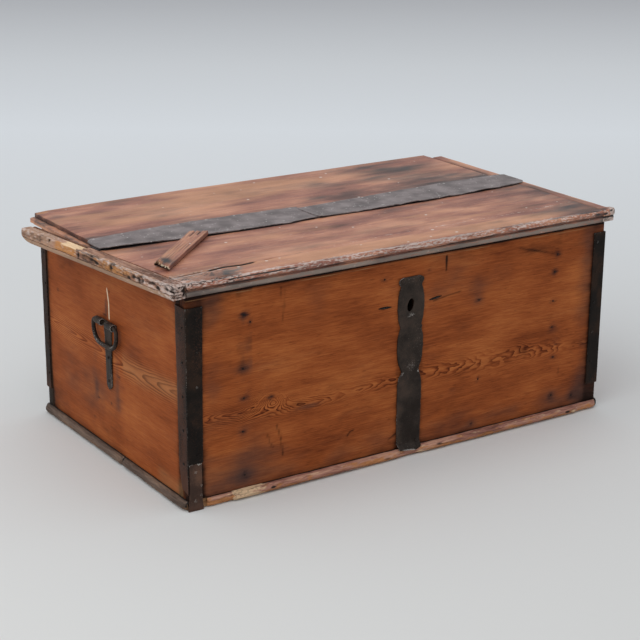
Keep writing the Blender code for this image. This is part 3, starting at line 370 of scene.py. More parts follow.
        broken = add(tree, "MapRange", {0: noises["ripple"][0], 1: 0.42, 2: 0.58})[0]
        craze = add(tree, "Math", {0: craze, 1: broken}, operation="MULTIPLY", use_clamp=True)[0]
        split = add(tree, "Math", {0: split, 1: craze}, operation="MULTIPLY", use_clamp=True)[0]
        colour = add(tree, "Mix", {0: split, 6: colour, 7: linear("#30241E")}, data_type="RGBA")[2]
    tree.links.new(colour, shader.inputs["Base Color"])
    dull = add(tree, "MapRange", {0: tone, 3: rough - 0.08, 4: rough + 0.1})[0]
    tree.links.new(dull, shader.inputs["Roughness"])
    height = add(tree, "Math", {0: late, 1: 0.3, 2: noises["fibre"][0]}, operation="MULTIPLY_ADD")[0]
    relief = add(tree, "Bump", {"Strength": 0.35, "Distance": 0.0006, "Height": height})[0]
    tree.links.new(relief, shader.inputs["Normal"])
    shader.inputs["Specular IOR Level"].default_value = specular
    return material


def both(upper, lower=0.0):
    """Paint values of a slab: those of the first face's points, then those of the second's."""
    return np.concatenate([np.ravel(upper), np.ravel(np.broadcast_to(lower, np.shape(upper)))])


# Unwaxed pine, sawn and left: dry mellow brown with dust, hardly any shine.
raw_pine = pine(
    "unwaxed_sawn_pine", ("#B08A62", "#946945", "#7C5636", "#5C3D25"),
    [("grime_and_shade", "#3A2A1E", 0.05, 0.4, 0.5)],
    rough=0.75, specular=0.2, variety=(0.8, 0.6, 0.8), rings=0.25,
)
for index in (1, 2, 3):
    node = "bottom_board_%d" % index
    x, y, upper, lower, flat = board(node, (0, 1, 2), 1, (0.02, 0.02), seed=index)
    shape = slab(upper, lower)
    grime_and_shade = 0.5 * fade(np.minimum(BODY_END - abs(x), BODY_BACK - abs(y)), 0.05)
    grime_and_shade += 0.25 * unevenness(x, y, 0.2, 0.1, index)
    grain = shape[0] - np.array((index * 3.0, -0.2 + 0.2 * index, -0.05))
    make_piece(
        node + "_sawn", shape, raw_pine, "chest", (node,), grain, {"grime_and_shade": both(grime_and_shade, 0.3)}
    )


# Front wall: one wide pine board, planed, stained by age and waxed, with a flame figure running its length.
# Rows of old nail holes and a darker upright band show where straps were once nailed on.
FRONT, FRONT_TOP = -0.334, 0.459
KEYHOLE_MIDDLE, KEYHOLE_HALF = (-0.0015, 0.348), (0.0085, 0.0145)
# The flame's middle line and half height, each as X and Z.
flame = np.array((
    (-0.55, 0.190), (-0.515, 0.192), (-0.428, 0.184), (-0.375, 0.190), (-0.282, 0.178), (-0.207, 0.176),
    (-0.117, 0.181), (-0.038, 0.184), (0.038, 0.190), (0.169, 0.176), (0.313, 0.182), (0.434, 0.171),
    (0.55, 0.168),
))
flame_half = np.array((
    (-0.55, 0.020), (-0.42, 0.026), (-0.33, 0.024), (-0.24, 0.012), (-0.10, 0.010), (0.0, 0.012),
    (0.08, 0.017), (0.33, 0.018), (0.45, 0.009), (0.55, 0.004),
))
# Old nails: place, darkness of the stain round each, and how wide and tall it is. The first sixteen left stubs.
STUB_COUNT = 16
old_nails = np.array((
    (-0.417, 0.397, 1.0, 0.011, 0.008), (-0.402, 0.380, 0.5, 0.005, 0.010), (-0.420, 0.283, 0.8, 0.009, 0.004),
    (-0.418, 0.219, 0.8, 0.010, 0.005), (-0.421, 0.146, 0.8, 0.008, 0.005), (-0.417, 0.049, 0.55, 0.007, 0.014),
    (0.412, 0.398, 0.75, 0.009, 0.008), (0.406, 0.357, 0.85, 0.010, 0.007), (0.405, 0.288, 0.6, 0.009, 0.005),
    (0.406, 0.225, 0.75, 0.011, 0.004), (0.414, 0.151, 0.7, 0.009, 0.004), (0.414, 0.057, 0.6, 0.010, 0.009),
    (0.477, 0.044, 0.6, 0.006, 0.010), (0.188, 0.327, 0.7, 0.010, 0.005), (0.193, 0.140, 0.6, 0.005, 0.006),
    (-0.070, 0.415, 0.6, 0.008, 0.004), (0.048, 0.417, 0.4, 0.005, 0.004), (0.120, 0.128, 0.45, 0.008, 0.006),
    (0.421, 0.181, 0.5, 0.010, 0.004), (0.178, 0.036, 0.7, 0.004, 0.004),
))
# Scratches: how dark, and the path as X and Z.
SCRATCH_WIDTH = 0.0024
scratches = (
    (0.7, ((-0.361, 0.126), (-0.356, 0.108), (-0.349, 0.096))),
    (0.7, ((-0.339, 0.143), (-0.329, 0.11), (-0.324, 0.073))),
    (0.8, ((-0.162, 0.078), (-0.155, 0.088), (-0.146, 0.090))),
    (0.6, ((-0.053, 0.047), (-0.034, 0.057))),
    (1.1, ((0.094, 0.442), (0.095, 0.410))),
    (0.6, ((-0.329, 0.440), (-0.324, 0.370))),
    (0.45, ((-0.322, 0.440), (-0.319, 0.385))),
    (0.8, ((0.060, 0.346), (0.10, 0.352), (0.135, 0.356))),
    (0.5, ((0.299, 0.429), (0.36, 0.412), (0.419, 0.396))),
    (0.5, ((0.432, 0.125), (0.433, 0.105))),
    (0.35, ((0.419, 0.396), (0.47, 0.410), (0.508, 0.414))),
)


def stroke(u, v, path, width):
    """Line drawn along a path of straight lengths: 1 on it, falling as a bell curve over the width."""
    near = np.inf
    for (u0, v0), (u1, v1) in zip(path[:-1], path[1:]):
        du, dv = u1 - u0, v1 - v0
        share = np.clip(((u - u0) * du + (v - v0) * dv) / (du**2 + dv**2), 0, 1)
        near = np.minimum(near, np.hypot(u - u0 - share * du, v - v0 - share * dv))
    return bell(near, width)


# Waxed pine: warm red brown, darker late wood, purple haze where the wax has gone, black handling grime that
# also serves as painted shade, blue-black iron stain round nails, raw wood inside and bare wood in splits.
WAXED_TONES = ("#B06636", "#954E27", "#7A3C1D", "#4E210F")
WAXED_LAYERS = (
    ("haze", "#533A33", 0.03, 0.7, 0.5),
    ("grime_and_shade", "#1F110B", 0.014, 0.75, 0.5),
    ("mark", "#1E191D", 0.005, 1.0, 0.5),
    ("wear", "#A57C55", 0.02, 0.2, 0.3),
    ("fresh_wood_and_highlight", "#EAD5B8", 0.01, 0.2, 0.3),
)
waxed_pine = pine(
    "waxed_old_pine", WAXED_TONES, WAXED_LAYERS,
    rough=0.6, specular=0.06, variety=(0.30, 0.55, 0.95), rings=0.07, ticks=0.35,
)
x, z, face, inner, flat = board(
    "front_board", (0, 2, 1), -1, (0.0047, 0.0030),
    ((0, 0.012, 0.0015),), ((0.348, 0.018, 0.0015), (0.448, 0.006, 0.0008)), seed=11,
)
hole = sum(((at - middle) / half) ** 2 for at, middle, half in zip((x, z), KEYHOLE_MIDDLE, KEYHOLE_HALF))
keep = np.maximum.reduce([hole[:-1, :-1], hole[1:, :-1], hole[:-1, 1:], hole[1:, 1:]]) > 1.35
# Painted shade inside the keyhole: its walls and the board just round it.
keyhole_shade = step(hole, 6.0, 3.0)
# Dirt against the corner irons and the strap, along the foot and in soft patches; painted shade inside the
# keyhole, and dirt with painted shade along the top rim under the lid's overhang.
grime_and_shade = (0.30 + 0.35 * step(z, 0.436, 0.426)) * (fade(x + 0.516, 0.008) + fade(0.518 - x, 0.009))
grime_and_shade += 0.25 * step(z, 0.10, 0.08) * step(x, -0.505, -0.515) + 0.35 * fade(abs(x) - 0.034, 0.005) * (z < 0.412)
# Below the top rim: dirt and painted shade from the lid's overhang, here and in the first step of the next line.
grime_and_shade += 0.40 * fade(z - 0.02, 0.012) + 0.62 * fade(FRONT_TOP - z, 0.006) + 0.26 * fade(FRONT_TOP - z, 0.035)
grime_and_shade += 0.50 * step(z, 0.4485, 0.4520) + 1.5 * keyhole_shade + 0.12 * step(x, -0.42, -0.48) * step(z, 0.33, 0.40)
grime_and_shade += 0.14 * step(x, 0.44, 0.50) * step(z, 0.07, 0.11) * step(z, 0.38, 0.35)
grime_and_shade += 0.09 * bell(z - 0.175, 0.04) * step(x, -0.30, -0.15)
grime_and_shade += 0.10 * step(x, -0.40, -0.44) * step(z, 0.35, 0.40)
grime_and_shade += 0.10 * unevenness(x, z, 0.25, 0.12, 5) + stains(
    x, z,
    (0.50, 0.05, 0.07, 0.07, 0.10), (0.36, 0.420, 0.09, 0.012, 0.3), (-0.285, 0.181, 0.016, 0.006, 0.4),
    (0.047, 0.239, 0.012, 0.004, 0.4), (0.32, 0.184, 0.02, 0.008, 0.35),
)
# Ghosts: upright bands that lost straps have left.
near_ghost = step(abs(x + 0.4155), 0.022, 0.015) * step(z, 0.11, 0.14)
far_ghost = step(abs(x - 0.409), 0.022, 0.010) * step(z, 0.10, 0.16)
ghosts = 0.17 * near_ghost * step(z, 0.19, 0.24) + 0.12 * far_ghost
grime_and_shade += ghosts * (0.8 + 0.8 * unevenness(x, z, 0.02, 0.025, 4, 3))
haze = 0.24 * near_ghost * step(z, 0.20, 0.25) * (0.7 + 0.9 * unevenness(x, z, 0.02, 0.03, 3, 3))
haze += 0.37 * step(z, 0.13, 0.03) + 0.40 * step(x, 0.455, 0.505)
haze += 0.35 * step(x, -0.44, -0.49) * step(z, 0.33, 0.40) + 0.21 * unevenness(x, z, 0.12, 0.09, 6, 3)
haze += stains(
    x, z,
    (-0.49, 0.25, 0.025, 0.05, 0.40), (-0.50, 0.40, 0.025, 0.05, 0.15), (-0.48, 0.08, 0.12, 0.08, 0.46),
    (-0.257, 0.170, 0.040, 0.008, 0.65),
)
for dark, path in scratches:
    grime_and_shade += 0.75 * dark * stroke(x, z, path, SCRATCH_WIDTH)
mark = stains(x, z, (-0.353, 0.208, 0.010, 0.006, 0.75))
for nail_x, nail_z, dark, wide, tall in old_nails:
    mark += dark * stains(x, z, (nail_x, nail_z, wide, 0.9 * tall, 0.70), (nail_x, nail_z, 0.014, 0.012, 0.20))
    haze += 0.45 * dark * stain(x, z, (nail_x, nail_z), (0.016, 0.014))
arris = 0.58 * bell(z - 0.4468, 0.0012) * (0.7 + 0.6 * unevenness(x, 0, 0.06, 1, 8, 2))
line = np.interp(x, *flame.T)
figure = bell(z - line, np.interp(x, *flame_half.T)) + 0.8 * stain(x, z, (-0.372, 0.212), (0.034, 0.020))
figure *= 0.66 + 0.32 * unevenness(x, z, 0.08, 0.02, 12)
shape = slab(face, inner, keep)
points = shape[0]
# The pith rises to a knot at the left, and leans out of the board to the right.
bump = stains(
    points[:, 0], points[:, 2], (-0.345, 0.206, 0.034, 0.024, 0.038), (0.33, 0.185, 0.03, 0.02, -0.012)
)
grain = np.stack([points[:, 0], points[:, 2] - 0.18, points[:, 1] - FRONT + 0.05], -1)
# On the second face the rims are darkened: painted shade on the edges that show in the gap under the lid, and in
# the keyhole.
make_piece(
    "front_board_waxed", shape, waxed_pine, "chest", ("front_board",), grain,
    {
        "grime_and_shade": both(grime_and_shade, 0.66 - 0.5 * flat + keyhole_shade), "wear": both(arris, flat * (1 - keyhole_shade)),
        "figure": both(figure), "haze": both(haze), "mark": both(mark),
        "sway": both(0.18 - line, 0.18 - line) - bump, "rise": 0.075 * points[:, 0] - 0.022,
    },
)


# Stubs of the old nails, wrought and broken off level with the board: small dark discs a little sunk in their
# stain. Everything of iron is lofted, gathered and coloured by the helpers that start here.
def loft(rings, closed=False):
    """Bar through like closed rings of points: quads between neighbouring rings, and a flat polygon at each end,
    or the last ring joined to the first."""
    count, size = rings.shape[:2]
    number = np.arange(count * size).reshape(count, size)
    if closed:
        number = np.concatenate([number, number[:1]])
    over = np.roll(number, -1, axis=1)
    quads = np.stack([number[:-1], over[:-1], over[1:], number[1:]], -1).reshape(-1, 4)
    caps = [] if closed else [number[0][::-1], number[-1]]
    return outward(rings.reshape(-1, 3), quads, caps)


def gather(shapes):
    """Several shapes as one: their points in a row, their faces renumbered to follow."""
    starts = np.cumsum([0] + [len(shape[0]) for shape in shapes])
    return (
        np.concatenate([shape[0] for shape in shapes]),
        np.concatenate([shape[1] + start for shape, start in zip(shapes, starts)]),
        [cap + start for shape, start in zip(shapes, starts) for cap in shape[2]],
    )


def nail_heads(places, axis, radius, proud, seed, sides=9):
    """Hammered nail heads along one axis: rings of falling radius from below the surface to a blunt crown, each
    head's rim wavy and its crown a little off its middle."""
    draw = np.random.default_rng(seed)
    axis = np.array(axis, float)
    first = np.cross(axis, (0.0, 0.0, 1.0) if abs(axis[2]) < 0.5 else (1.0, 0.0, 0.0))
    second = np.cross(axis, first)
    angle = np.arange(sides) * 2 * math.pi / sides
    heads = []
    for spot in places:
        wave = 1 + 0.12 * draw.uniform(-1, 1, sides)
        lean = 0.2 * radius * draw.uniform(-1, 1, 2)
        rings = []
        for share, height in ((1.0, -1.2), (1.0, 0.25), (0.86, 0.7), (0.5, 0.95), (0.12, 1.0)):
            turn = np.outer(np.cos(angle) * wave * radius * share + lean[0] * (1 - share), first)
            turn += np.outer(np.sin(angle) * wave * radius * share + lean[1] * (1 - share), second)
            rings.append(np.array(spot) + turn + axis * height * proud)
        heads.append(loft(np.array(rings)))
    return gather(heads)


def forged_iron(name, tones, bright, rough, metal, specks=0.0):
    """Hand-forged iron on object coordinates: hammer marks about 16 mm across and pits of 2 mm in relief, tone
    wandering over 40 mm. The attribute rust browns it, and the attribute wear rubs it to bare metal. Specks are
    pale spots of a few millimetres."""
    material, tree, shader = new_material(name)
    place = add(tree, "TexCoord")["Object"]
    cloud = add(tree, "TexNoise", {"Vector": place, "Scale": 25.0, "Detail": 4.0})[0]
    pits = add(tree, "TexNoise", {"Vector": place, "Scale": 420.0, "Detail": 2.0})[0]
    blows = add(
        tree, "TexVoronoi", {"Vector": place, "Scale": 62.0, "Smoothness": 0.8}, feature="SMOOTH_F1"
    )[0]
    tone = add(tree, "Math", {0: pits, 1: 0.3, 2: -0.15}, operation="MULTIPLY_ADD")[0]
    tone = add(tree, "Math", {0: cloud, 1: tone}, operation="ADD")[0]
    stops = [(at, linear(code)) for at, code in zip((0.34, 0.5, 0.68), tones)]
    colour = add(tree, "ValToRGB", {0: tone}, stops=stops)[0]
    for attribute, code, start in (("rust", "#4C3024", 0.75), ("wear", bright, 0.85)):
        amount = add(tree, "Attribute", attribute_name=attribute)["Fac"]
        amount = add(tree, "Math", {0: pits, 1: 1.2, 2: amount}, operation="MULTIPLY_ADD")[0]
        reach = {0: amount, 1: start, 2: start + 0.65}
        amount = add(tree, "MapRange", reach, interpolation_type="SMOOTHSTEP")[0]
        colour = add(tree, "Mix", {0: amount, 6: colour, 7: linear(code)}, data_type="RGBA")[2]
    if specks:  # one spot at most in a cell of 8 mm
        cells = add(tree, "TexVoronoi", {"Vector": place, "Scale": 125.0})
        lot = add(tree, "SeparateXYZ", {0: cells["Color"]})[0]
        size = add(tree, "MapRange", {0: lot, 1: 0.35, 2: 1.0, 4: 0.26})[0]
        fleck = add(tree, "Math", {0: size, 1: cells["Distance"]}, operation="SUBTRACT")[0]
        fleck = add(tree, "MapRange", {0: fleck, 1: 0.0, 2: 0.05, 4: specks})[0]
        colour = add(tree, "Mix", {0: fleck, 6: colour, 7: linear("#C9C4C0")}, data_type="RGBA")[2]
    tree.links.new(colour, shader.inputs["Base Color"])
    dull = add(tree, "MapRange", {0: tone, 1: 0.3, 2: 0.7, 3: rough - 0.1, 4: rough + 0.12})[0]
    tree.links.new(dull, shader.inputs["Roughness"])
    height = add(tree, "Math", {0: blows, 1: 2.0, 2: pits}, operation="MULTIPLY_ADD")[0]
    relief = add(tree, "Bump", {"Strength": 0.3, "Distance": 0.0006, "Height": height})[0]
    tree.links.new(relief, shader.inputs["Normal"])
    shader.inputs["Metallic"].default_value = metal
    shader.inputs["Specular IOR Level"].default_value = 0.12
    return material


# Wrought iron: black scale browned by rust, rubbed grey on the edges.
wrought_iron = forged_iron("wrought_iron", ("#120D0A", "#1C1511", "#2E2018"), "#8A8580", rough=0.56, metal=0.1)
stubs = old_nails[:STUB_COUNT]
places = np.stack([stubs[:, 0], np.full(STUB_COUNT, FRONT + 0.0004), stubs[:, 1]], -1)
heads = nail_heads(places, (0, -1, 0), 0.0022, 0.0005, 21)
make_piece("front_board_nail_stubs", heads, wrought_iron, "chest")


# Back and end walls: like boards of waxed pine, butted between and behind. The ends have a flame figure of their
# own, the left one a pale drying split above its handle; the back was never planed as well and is duller.
HANDLE_Y, HANDLE_Z = 0.008, 0.308
SPLIT_HEIGHT, SPLIT_PLACE = (0.316, 0.353, 0.386), (0.004, 0.004, 0.012)
end_flame = np.array((
    (-0.334, 0.246), (-0.29, 0.2425), (-0.225, 0.2365), (-0.158, 0.233), (-0.04, 0.233), (0.334, 0.236),
))
# Iron stains on the ends: place, half sizes and darkness.
end_marks = (
    (0.0, 0.380, 0.006, 0.005, 0.62), (0.066, 0.120, 0.008, 0.004, 0.62), (-0.034, 0.197, 0.008, 0.004, 0.62),
    (0.006, 0.125, 0.005, 0.004, 0.62), (0.31, 0.306, 0.010, 0.006, 0.62), (0.26, 0.317, 0.008, 0.005, 0.62),
    (0.024, 0.322, 0.010, 0.008, 0.62), (0.092, 0.066, 0.008, 0.005, 0.62),
)
# The same waxed pine, straighter grown, so that its rings run in long sweeps.
waxed_end_pine = pine(
    "waxed_straight_pine", WAXED_TONES, WAXED_LAYERS,
    rough=0.6, specular=0.06, variety=(0.25, 0.40, 0.80),
    rings=0.03, ring_width=0.0042, bends=(0.008, 0.0022), ticks=0.15,
)
for side, way in (("left", -1), ("right", 1)):
    split = way < 0
    y, z, face, inner, flat = board(
        side + "_end_board", (1, 2, 0), way, (0.004, 0.0035),
        ((0.007, 0.008, 0.0007),) if split else (), seed=31 + way,
    )
    # Dirt against the corner irons, along the foot and in soft patches; painted shade beside the handle's strap,
    # and dirt with painted shade along the top rim under the lid's overhang.
    grime_and_shade = 0.7 * fade(y + 0.296, 0.008) + 0.75 * fade(0.312 - y, 0.012)
    grime_and_shade += 0.40 * fade(z - 0.02, 0.010) + 0.65 * fade(FRONT_TOP - z, 0.012)
    grime_and_shade += 0.10 * step(z, 0.085, 0.065) * step(y, -0.295, -0.305)
    grime_and_shade += 0.55 * step(z, 0.075, 0.065) * step(y, 0.303, 0.313) + 0.10 * unevenness(y, z, 0.2, 0.1, 7)
    grime_and_shade += stains(y, z, (0.32, 0.04, 0.09, 0.06, 0.35), (0.01, 0.06, 0.07, 0.03, 0.14))
    # Painted shade beside the handle's strap.
    beside = fade(abs(y - HANDLE_Y) - 0.015, 0.006)
    grime_and_shade += 0.35 * beside * step(z, 0.15, 0.165) * step(z, 0.312, 0.302)
    drips = step(z, 0.08, 0.13) * step(z, 0.27, 0.22) * (0.8 + 0.5 * unevenness(z, y, 0.09, 0.02, 9))
    haze = drips * (0.50 * bell(y - 0.072, 0.018) + 0.35 * bell(y + 0.026, 0.016))
    haze += stains(y, z, (0.017, 0.340, 0.007, 0.035, 0.65), (0.12, 0.12, 0.16, 0.08, 0.30))
    haze += 0.20 * unevenness(y, z, 0.10, 0.07, 10, 3) + 0.25 * step(z, 0.40, 0.45)
    fresh_wood_and_highlight = 0 * y
    if split:
        gap = y - np.interp(z, SPLIT_HEIGHT, SPLIT_PLACE)
        run = step(z, 0.312, 0.322) * step(z, 0.390, 0.378)
        face[..., 0] -= way * 0.0016 * bell(gap, 0.0013) * run
        fresh_wood_and_highlight = 1.5 * bell(gap, 0.0021) * run
        grime_and_shade -= grime_and_shade * np.clip(fresh_wood_and_highlight, 0, 1)
    line = np.interp(y, *end_flame.T)
    glow = 0.44 * bell(z - line, 0.045) * step(y, -0.03, -0.06)
    glow += 0.42 * step(z, 0.09, 0.04) * step(y, -0.16, -0.22)
    figure = bell(z - line, 0.026) * (0.70 + 0.35 * unevenness(y, z, 0.08, 0.02, 13)) * step(abs(y), 0.35, 0.25)
    shape = slab(face, inner)
    points = shape[0]
    deep = way * (BODY_END * way - points[:, 0]) + 0.05
    grain = np.stack([points[:, 1] + 5 * way, points[:, 2] - 0.23, deep], -1)
    # The pith comes nearest to the face at both ends, so that the rings fan out from behind the handle.
    # On the second face the rims are darkened: painted shade on the edges seen under the lid.
    make_piece(
        side + "_end_board_waxed", shape, waxed_end_pine, "chest", (side + "_end_board",), grain,
        {
            "grime_and_shade": both(grime_and_shade, 0.66 - 0.5 * flat), "wear": both(glow, flat), "fresh_wood_and_highlight": both(fresh_wood_and_highlight),
            "figure": both(figure), "haze": both(haze), "mark": both(stains(y, z, *end_marks)),
            "sway": both(0.23 - line, 0.23 - line),
            "rise": -0.0265 - 0.07 * np.hypot(points[:, 1] + 0.10, 0.02),
        },
    )

# Dull pine of the back: greyer, hardly waxed. Two notches in its top edge let the hinge straps pass.
HINGE_PLACES, NOTCH_HALF, NOTCH_FOOT = (-0.34, 0.34), 0.022, 0.4557
dull_pine = pine(
    "unpolished_back_pine", ("#98673F", "#7E502E", "#66401F", "#452711"),
    [("grime_and_shade", "#24180F", 0.05, 0.5, 0.5), ("wear", "#A57C55", 0.02, 0.2, 0.3)],
    rough=0.66, specular=0.2, variety=(0.7, 0.9, 0.8), rings=0.16, ticks=0.4,
)
x, z, face, inner, flat = board(
    "back_board", (0, 2, 1), 1, (0.005, 0.005),
    [(place, 0.024, 0.002) for place in HINGE_PLACES], ((0.457, 0.004, 0.0009),), seed=41,
)
mid_x, mid_z = ((grid[:-1, :-1] + grid[1:, 1:]) / 2 for grid in (x, z))
keep = np.ones(mid_x.shape, bool)
for place in HINGE_PLACES:
    keep &= ~((abs(mid_x - place) < NOTCH_HALF) & (mid_z > NOTCH_FOOT))
# The rims are darkened on both faces: painted shade on edges that show in narrow gaps, as beside the corner
# irons.
grime_and_shade = 0.25 + 0.6 * fade(0.508 - abs(x), 0.012) + 0.5 * fade(z - 0.02, 0.02)
grime_and_shade += 0.25 * unevenness(x, z, 0.3, 0.1, 8) + 0.55 * (1 - flat)
shape = slab(face, inner, keep)
grain = shape[0][:, (0, 2, 1)] * (1, 1, -1) + np.array((9.0, -0.27, 0.38))
make_piece(
    "back_board_dull", shape, dull_pine, "chest", ("back_board",), grain,
    {
        "grime_and_shade": both(grime_and_shade, 0.80 - 0.65 * flat), "wear": both(0 * grime_and_shade, flat),
        "figure": both(0.6 * bell(z - 0.27, 0.03)), "rise": 0.04 * shape[0][:, 0],
    },
)


# Base mouldings: half-round pine strips nailed along the foot of front and ends, once painted, now purple brown
# with bare orange wood where their lower edge has been kicked and chipped away.
MOULDING_DEPTH, MOULDING_HALF, MOULDING_MIDDLE, MOULDING_FIT = 0.0145, 0.0104, 0.0109, 0.0003
MOULDING_LEFT, MOULDING_RIGHT, LEFT_BUTT = -0.5099, 0.5490, (-0.0571, -0.0568)
moulding_pine = pine(
    "scuffed_painted_pine", ("#B98D76", "#98695A", "#70463B", "#3A231D"),
    [
        ("grime_and_shade", "#1A110E", 0.010, 0.9, 0.3),
        ("wear", "#B0764A", 0.008, 1.9, 0.25),
        ("fresh_wood_and_highlight", "#DDBB96", 0.007, 1.6, 0.25),
        ("mark", "#1C1210", 0.004, 0.8, 0.3),
    ],
    rough=0.66, specular=0.25, variety=(1.0, 0.8, 1.1), crazed=True,
)
# The same strips along the ends: grey brown with floor dirt, hardly chipped.
grimed_moulding_pine = pine(
    "grimed_painted_pine", ("#7C6452", "#5E4B3F", "#44352B", "#271C16"),
    [("grime_and_shade", "#1A110E", 0.010, 0.9, 0.3), ("wear", "#7A5A40", 0.011, 1.6, 0.25)],
    rough=0.6, specular=0.3, variety=(0.8, 0.7, 1.0),
)


def moulding(name, start, end, way, seed, material, rough, thin=None, bare=None, fresh_wood_and_highlight=None, holes=()):
    """Half ellipse carried along a wall from start to end: depth times cosine, half height times sine, each
    station's depth cut back by knocks along the edge. Way points out of the wall along X or Y. Thin and bare are
    functions of the run, fresh of the run and the angle."""
    length = np.linalg.norm(np.subtract(end, start))
    s = np.linspace(0, 1, round(length / 0.003) + 1)[:, None]
    t = np.radians(np.linspace(-90, 90, 23))[None, :]
    run = length * s
    knock = np.clip(unevenness(run, t, 0.035, 0.7, seed, 4) - 0.15, 0, 1)
    lean = 1 - rough * knock - 0.05 * (1 + unevenness(run, t, 0.12, 0.8, seed + 1))
    if thin is not None:
        lean = lean * thin(run)
    from_end = np.minimum(run, run[-1] - run)
    lean = lean * (0.55 + 0.45 * step(from_end, 0, 0.009))
    depth, up = MOULDING_DEPTH * np.cos(t) * lean, MOULDING_HALF * np.sin(t) * (0.86 + 0.14 * lean)
    base = np.array(start) + s[..., None] * np.subtract(end, start)
    rings = base + np.array(way) * (MOULDING_FIT + depth)[..., None]
    rings = rings + np.array((0, 0, 1.0)) * (MOULDING_MIDDLE + up)[..., None]
    wear = 0.25 * unevenness(run, t, 0.05, 0.7, seed + 2) - 0.42 * np.sin(t) + 0.5 * knock
    if bare is not None:
        wear = wear + bare(run)
    pale = 0 * wear if fresh_wood_and_highlight is None else fresh_wood_and_highlight(run, t)
    # Painted shade along the lower edge over the floor and in the crease against the wall; the ends are darkened
    # as well.
    grime_and_shade = 0.9 * step(t, 1.15, 1.5) + 0.9 * step(t, -1.0, -1.4) + 1.1 * step(from_end, 0.0035, 0.0005)
    grain = np.stack([run + 0 * t + seed, depth, up + 0.03], -1).reshape(-1, 3)
    make_piece(
        name + "_worn", loft(rings), material, "chest", (name,), grain,
        {
            "wear": wear, "fresh_wood_and_highlight": pale, "grime_and_shade": grime_and_shade, "mark": 0 * wear + stains(run, t, *holes),
            "craze": 0.55 * knock + 0.25 * pale,
        },
    )


moulding(
    "front_base_moulding", (MOULDING_LEFT, FRONT, 0), (MOULDING_RIGHT, FRONT, 0), (0, -1, 0), 51,
    moulding_pine, 0.34,
    thin=lambda run: (0.62 + 0.38 * step(run, 0.056, 0.066)) * (1 - 0.35 * bell(run - 0.51, 0.035))
    * (1 - 0.25 * step(run, 0.99, 1.00)),
    bare=lambda run: 0.28 + 0.30 * step(run, 0.064, 0.056) + 0.14 * step(run, 0.27, 0.32),
    # Pale wood where the strip is split and kicked, with a painted highlight along its upper curve in the last
    # term.
    fresh_wood_and_highlight=lambda run, t: 0.78 * step(run, 0.056, 0.064) * step(run, 0.16, 0.10) + 0.28 * step(t, -0.2, -1.0)
    + stains(run, t, (0.985, -0.3, 0.010, 0.5, 0.7), (0.55, -0.4, 0.05, 0.4, 0.4)) + 0.25 * bell(t - 0.7, 0.2),
    holes=(
        (0.154, 0.15, 0.008, 0.25, 1.1), (0.447, -0.1, 0.015, 0.45, 0.55), (0.590, 0.2, 0.012, 0.45, 0.7),
        (0.715, -0.2, 0.014, 0.35, 0.45), (0.967, -0.1, 0.009, 0.35, 1.0), (0.061, -0.9, 0.03, 0.3, 0.5),
    ),
)
for name, start, end, way, seed in (
    ("left_base_moulding_front", FRONT, LEFT_BUTT[0], -1, 61),
    ("left_base_moulding_rear", LEFT_BUTT[1], BODY_BACK, -1, 71),
    ("right_base_moulding", FRONT, BODY_BACK, 1, 81),
):
    wall = way * BODY_END
    moulding(name, (wall, start, 0), (wall, end, 0), (way, 0, 0), seed, grimed_moulding_pine, 0.15)


# Corner irons: sheet beaten round each corner as an angle and nailed through both legs, with a fold worn bright.
# The front left one ends in a spur beside a separate shoe plate that covers the foot of the corner.
IRON_FIT, IRON_SHEET, IRON_TOP, IRON_FOOT, FOLD_RADIUS = 0.0003, 0.003, 0.432, 0.063, 0.0026


def corner_iron(name, corner, to_side, to_face, end_width, face_width, foot, seed):
    """Angle of sheet: its path runs along the end leg to the fold and out along the face leg, rounded at the
    fold; every point of the path stands from its own foot height to the top. Widths and foot are functions."""
    q = np.concatenate([np.linspace(1, 0.12, 12), np.linspace(0.1, 0, 3)])
    up = np.linspace(0, 1, 70)[:, None]
    leg = np.concatenate([-q, np.zeros(3), q[::-1]])[None, :]
    ends, faces = (leg < 0), (leg > 0)
    bottom = foot(leg)
    z = bottom + up * (IRON_TOP - bottom)
    wave = 1 - 0.018 * (1 + unevenness(z, leg, 0.03, 2.0, seed)) * (abs(leg) > 0.97)
    hammered = 0.00035 * (1 + unevenness(z, leg, 0.022, 0.5, seed + 1) / 1.5) + 0.0008 * (abs(leg) > 0.985)
    sheets = []
    for lift, sink, radius in ((IRON_FIT + IRON_SHEET, hammered, FOLD_RADIUS), (IRON_FIT, 0 * hammered, 0.0)):
        along_end = np.where(ends, -leg * (end_width(z) + lift) * wave - lift, -lift)
        along_face = np.where(faces, leg * (face_width(z) + lift) * wave - lift, -lift)
        bend = 0.3 * radius * (leg == 0)
        px = corner[0] + to_side * np.where(faces, -along_face, lift - np.where(ends, sink, 0) - bend)
        py = corner[1] + to_face * np.where(ends, -along_end, lift - np.where(faces, sink, 0) - bend)
        sheets.append(np.stack([px, py, z + 0 * leg], -1))
    edge = 0.40 * fade(abs(leg), 0.05) + 0.25 * step(abs(leg), 0.9, 1.0) + 0.3 * step(up, 0.985, 1.0)
    wear = edge * (0.7 + 0.5 * unevenness(z, leg, 0.05, 0.5, seed + 2))
    rust = 0.45 * step(leg, 0.02, -0.1) + 0.5 * step(z, 0.10, 0.04)
    rust = rust + 0.20 * unevenness(z, leg, 0.08, 0.8, seed + 3)
    make_piece(
        name + "_forged", slab(*sheets), wrought_iron, "chest", (name,), None,
        {"wear": both(wear), "rust": both(rust)}, sharp=40,
    )


def spur_foot(leg):
    """The spur: from its tip at the fold up to the shoulder on the end leg, and to the shoe on the face leg."""
    end = 0.036 + 0.006 * np.clip(-leg / 0.8, 0, 1)
    face = np.where(leg < 0.03, 0.036, 0.1012)
    return np.where(leg > 0, face, end)


def plain_foot(leg):
    """A straight foot, a little wavy."""
    return IRON_FOOT + 0.0015 * unevenness(leg, 0, 0.3, 1, 9)


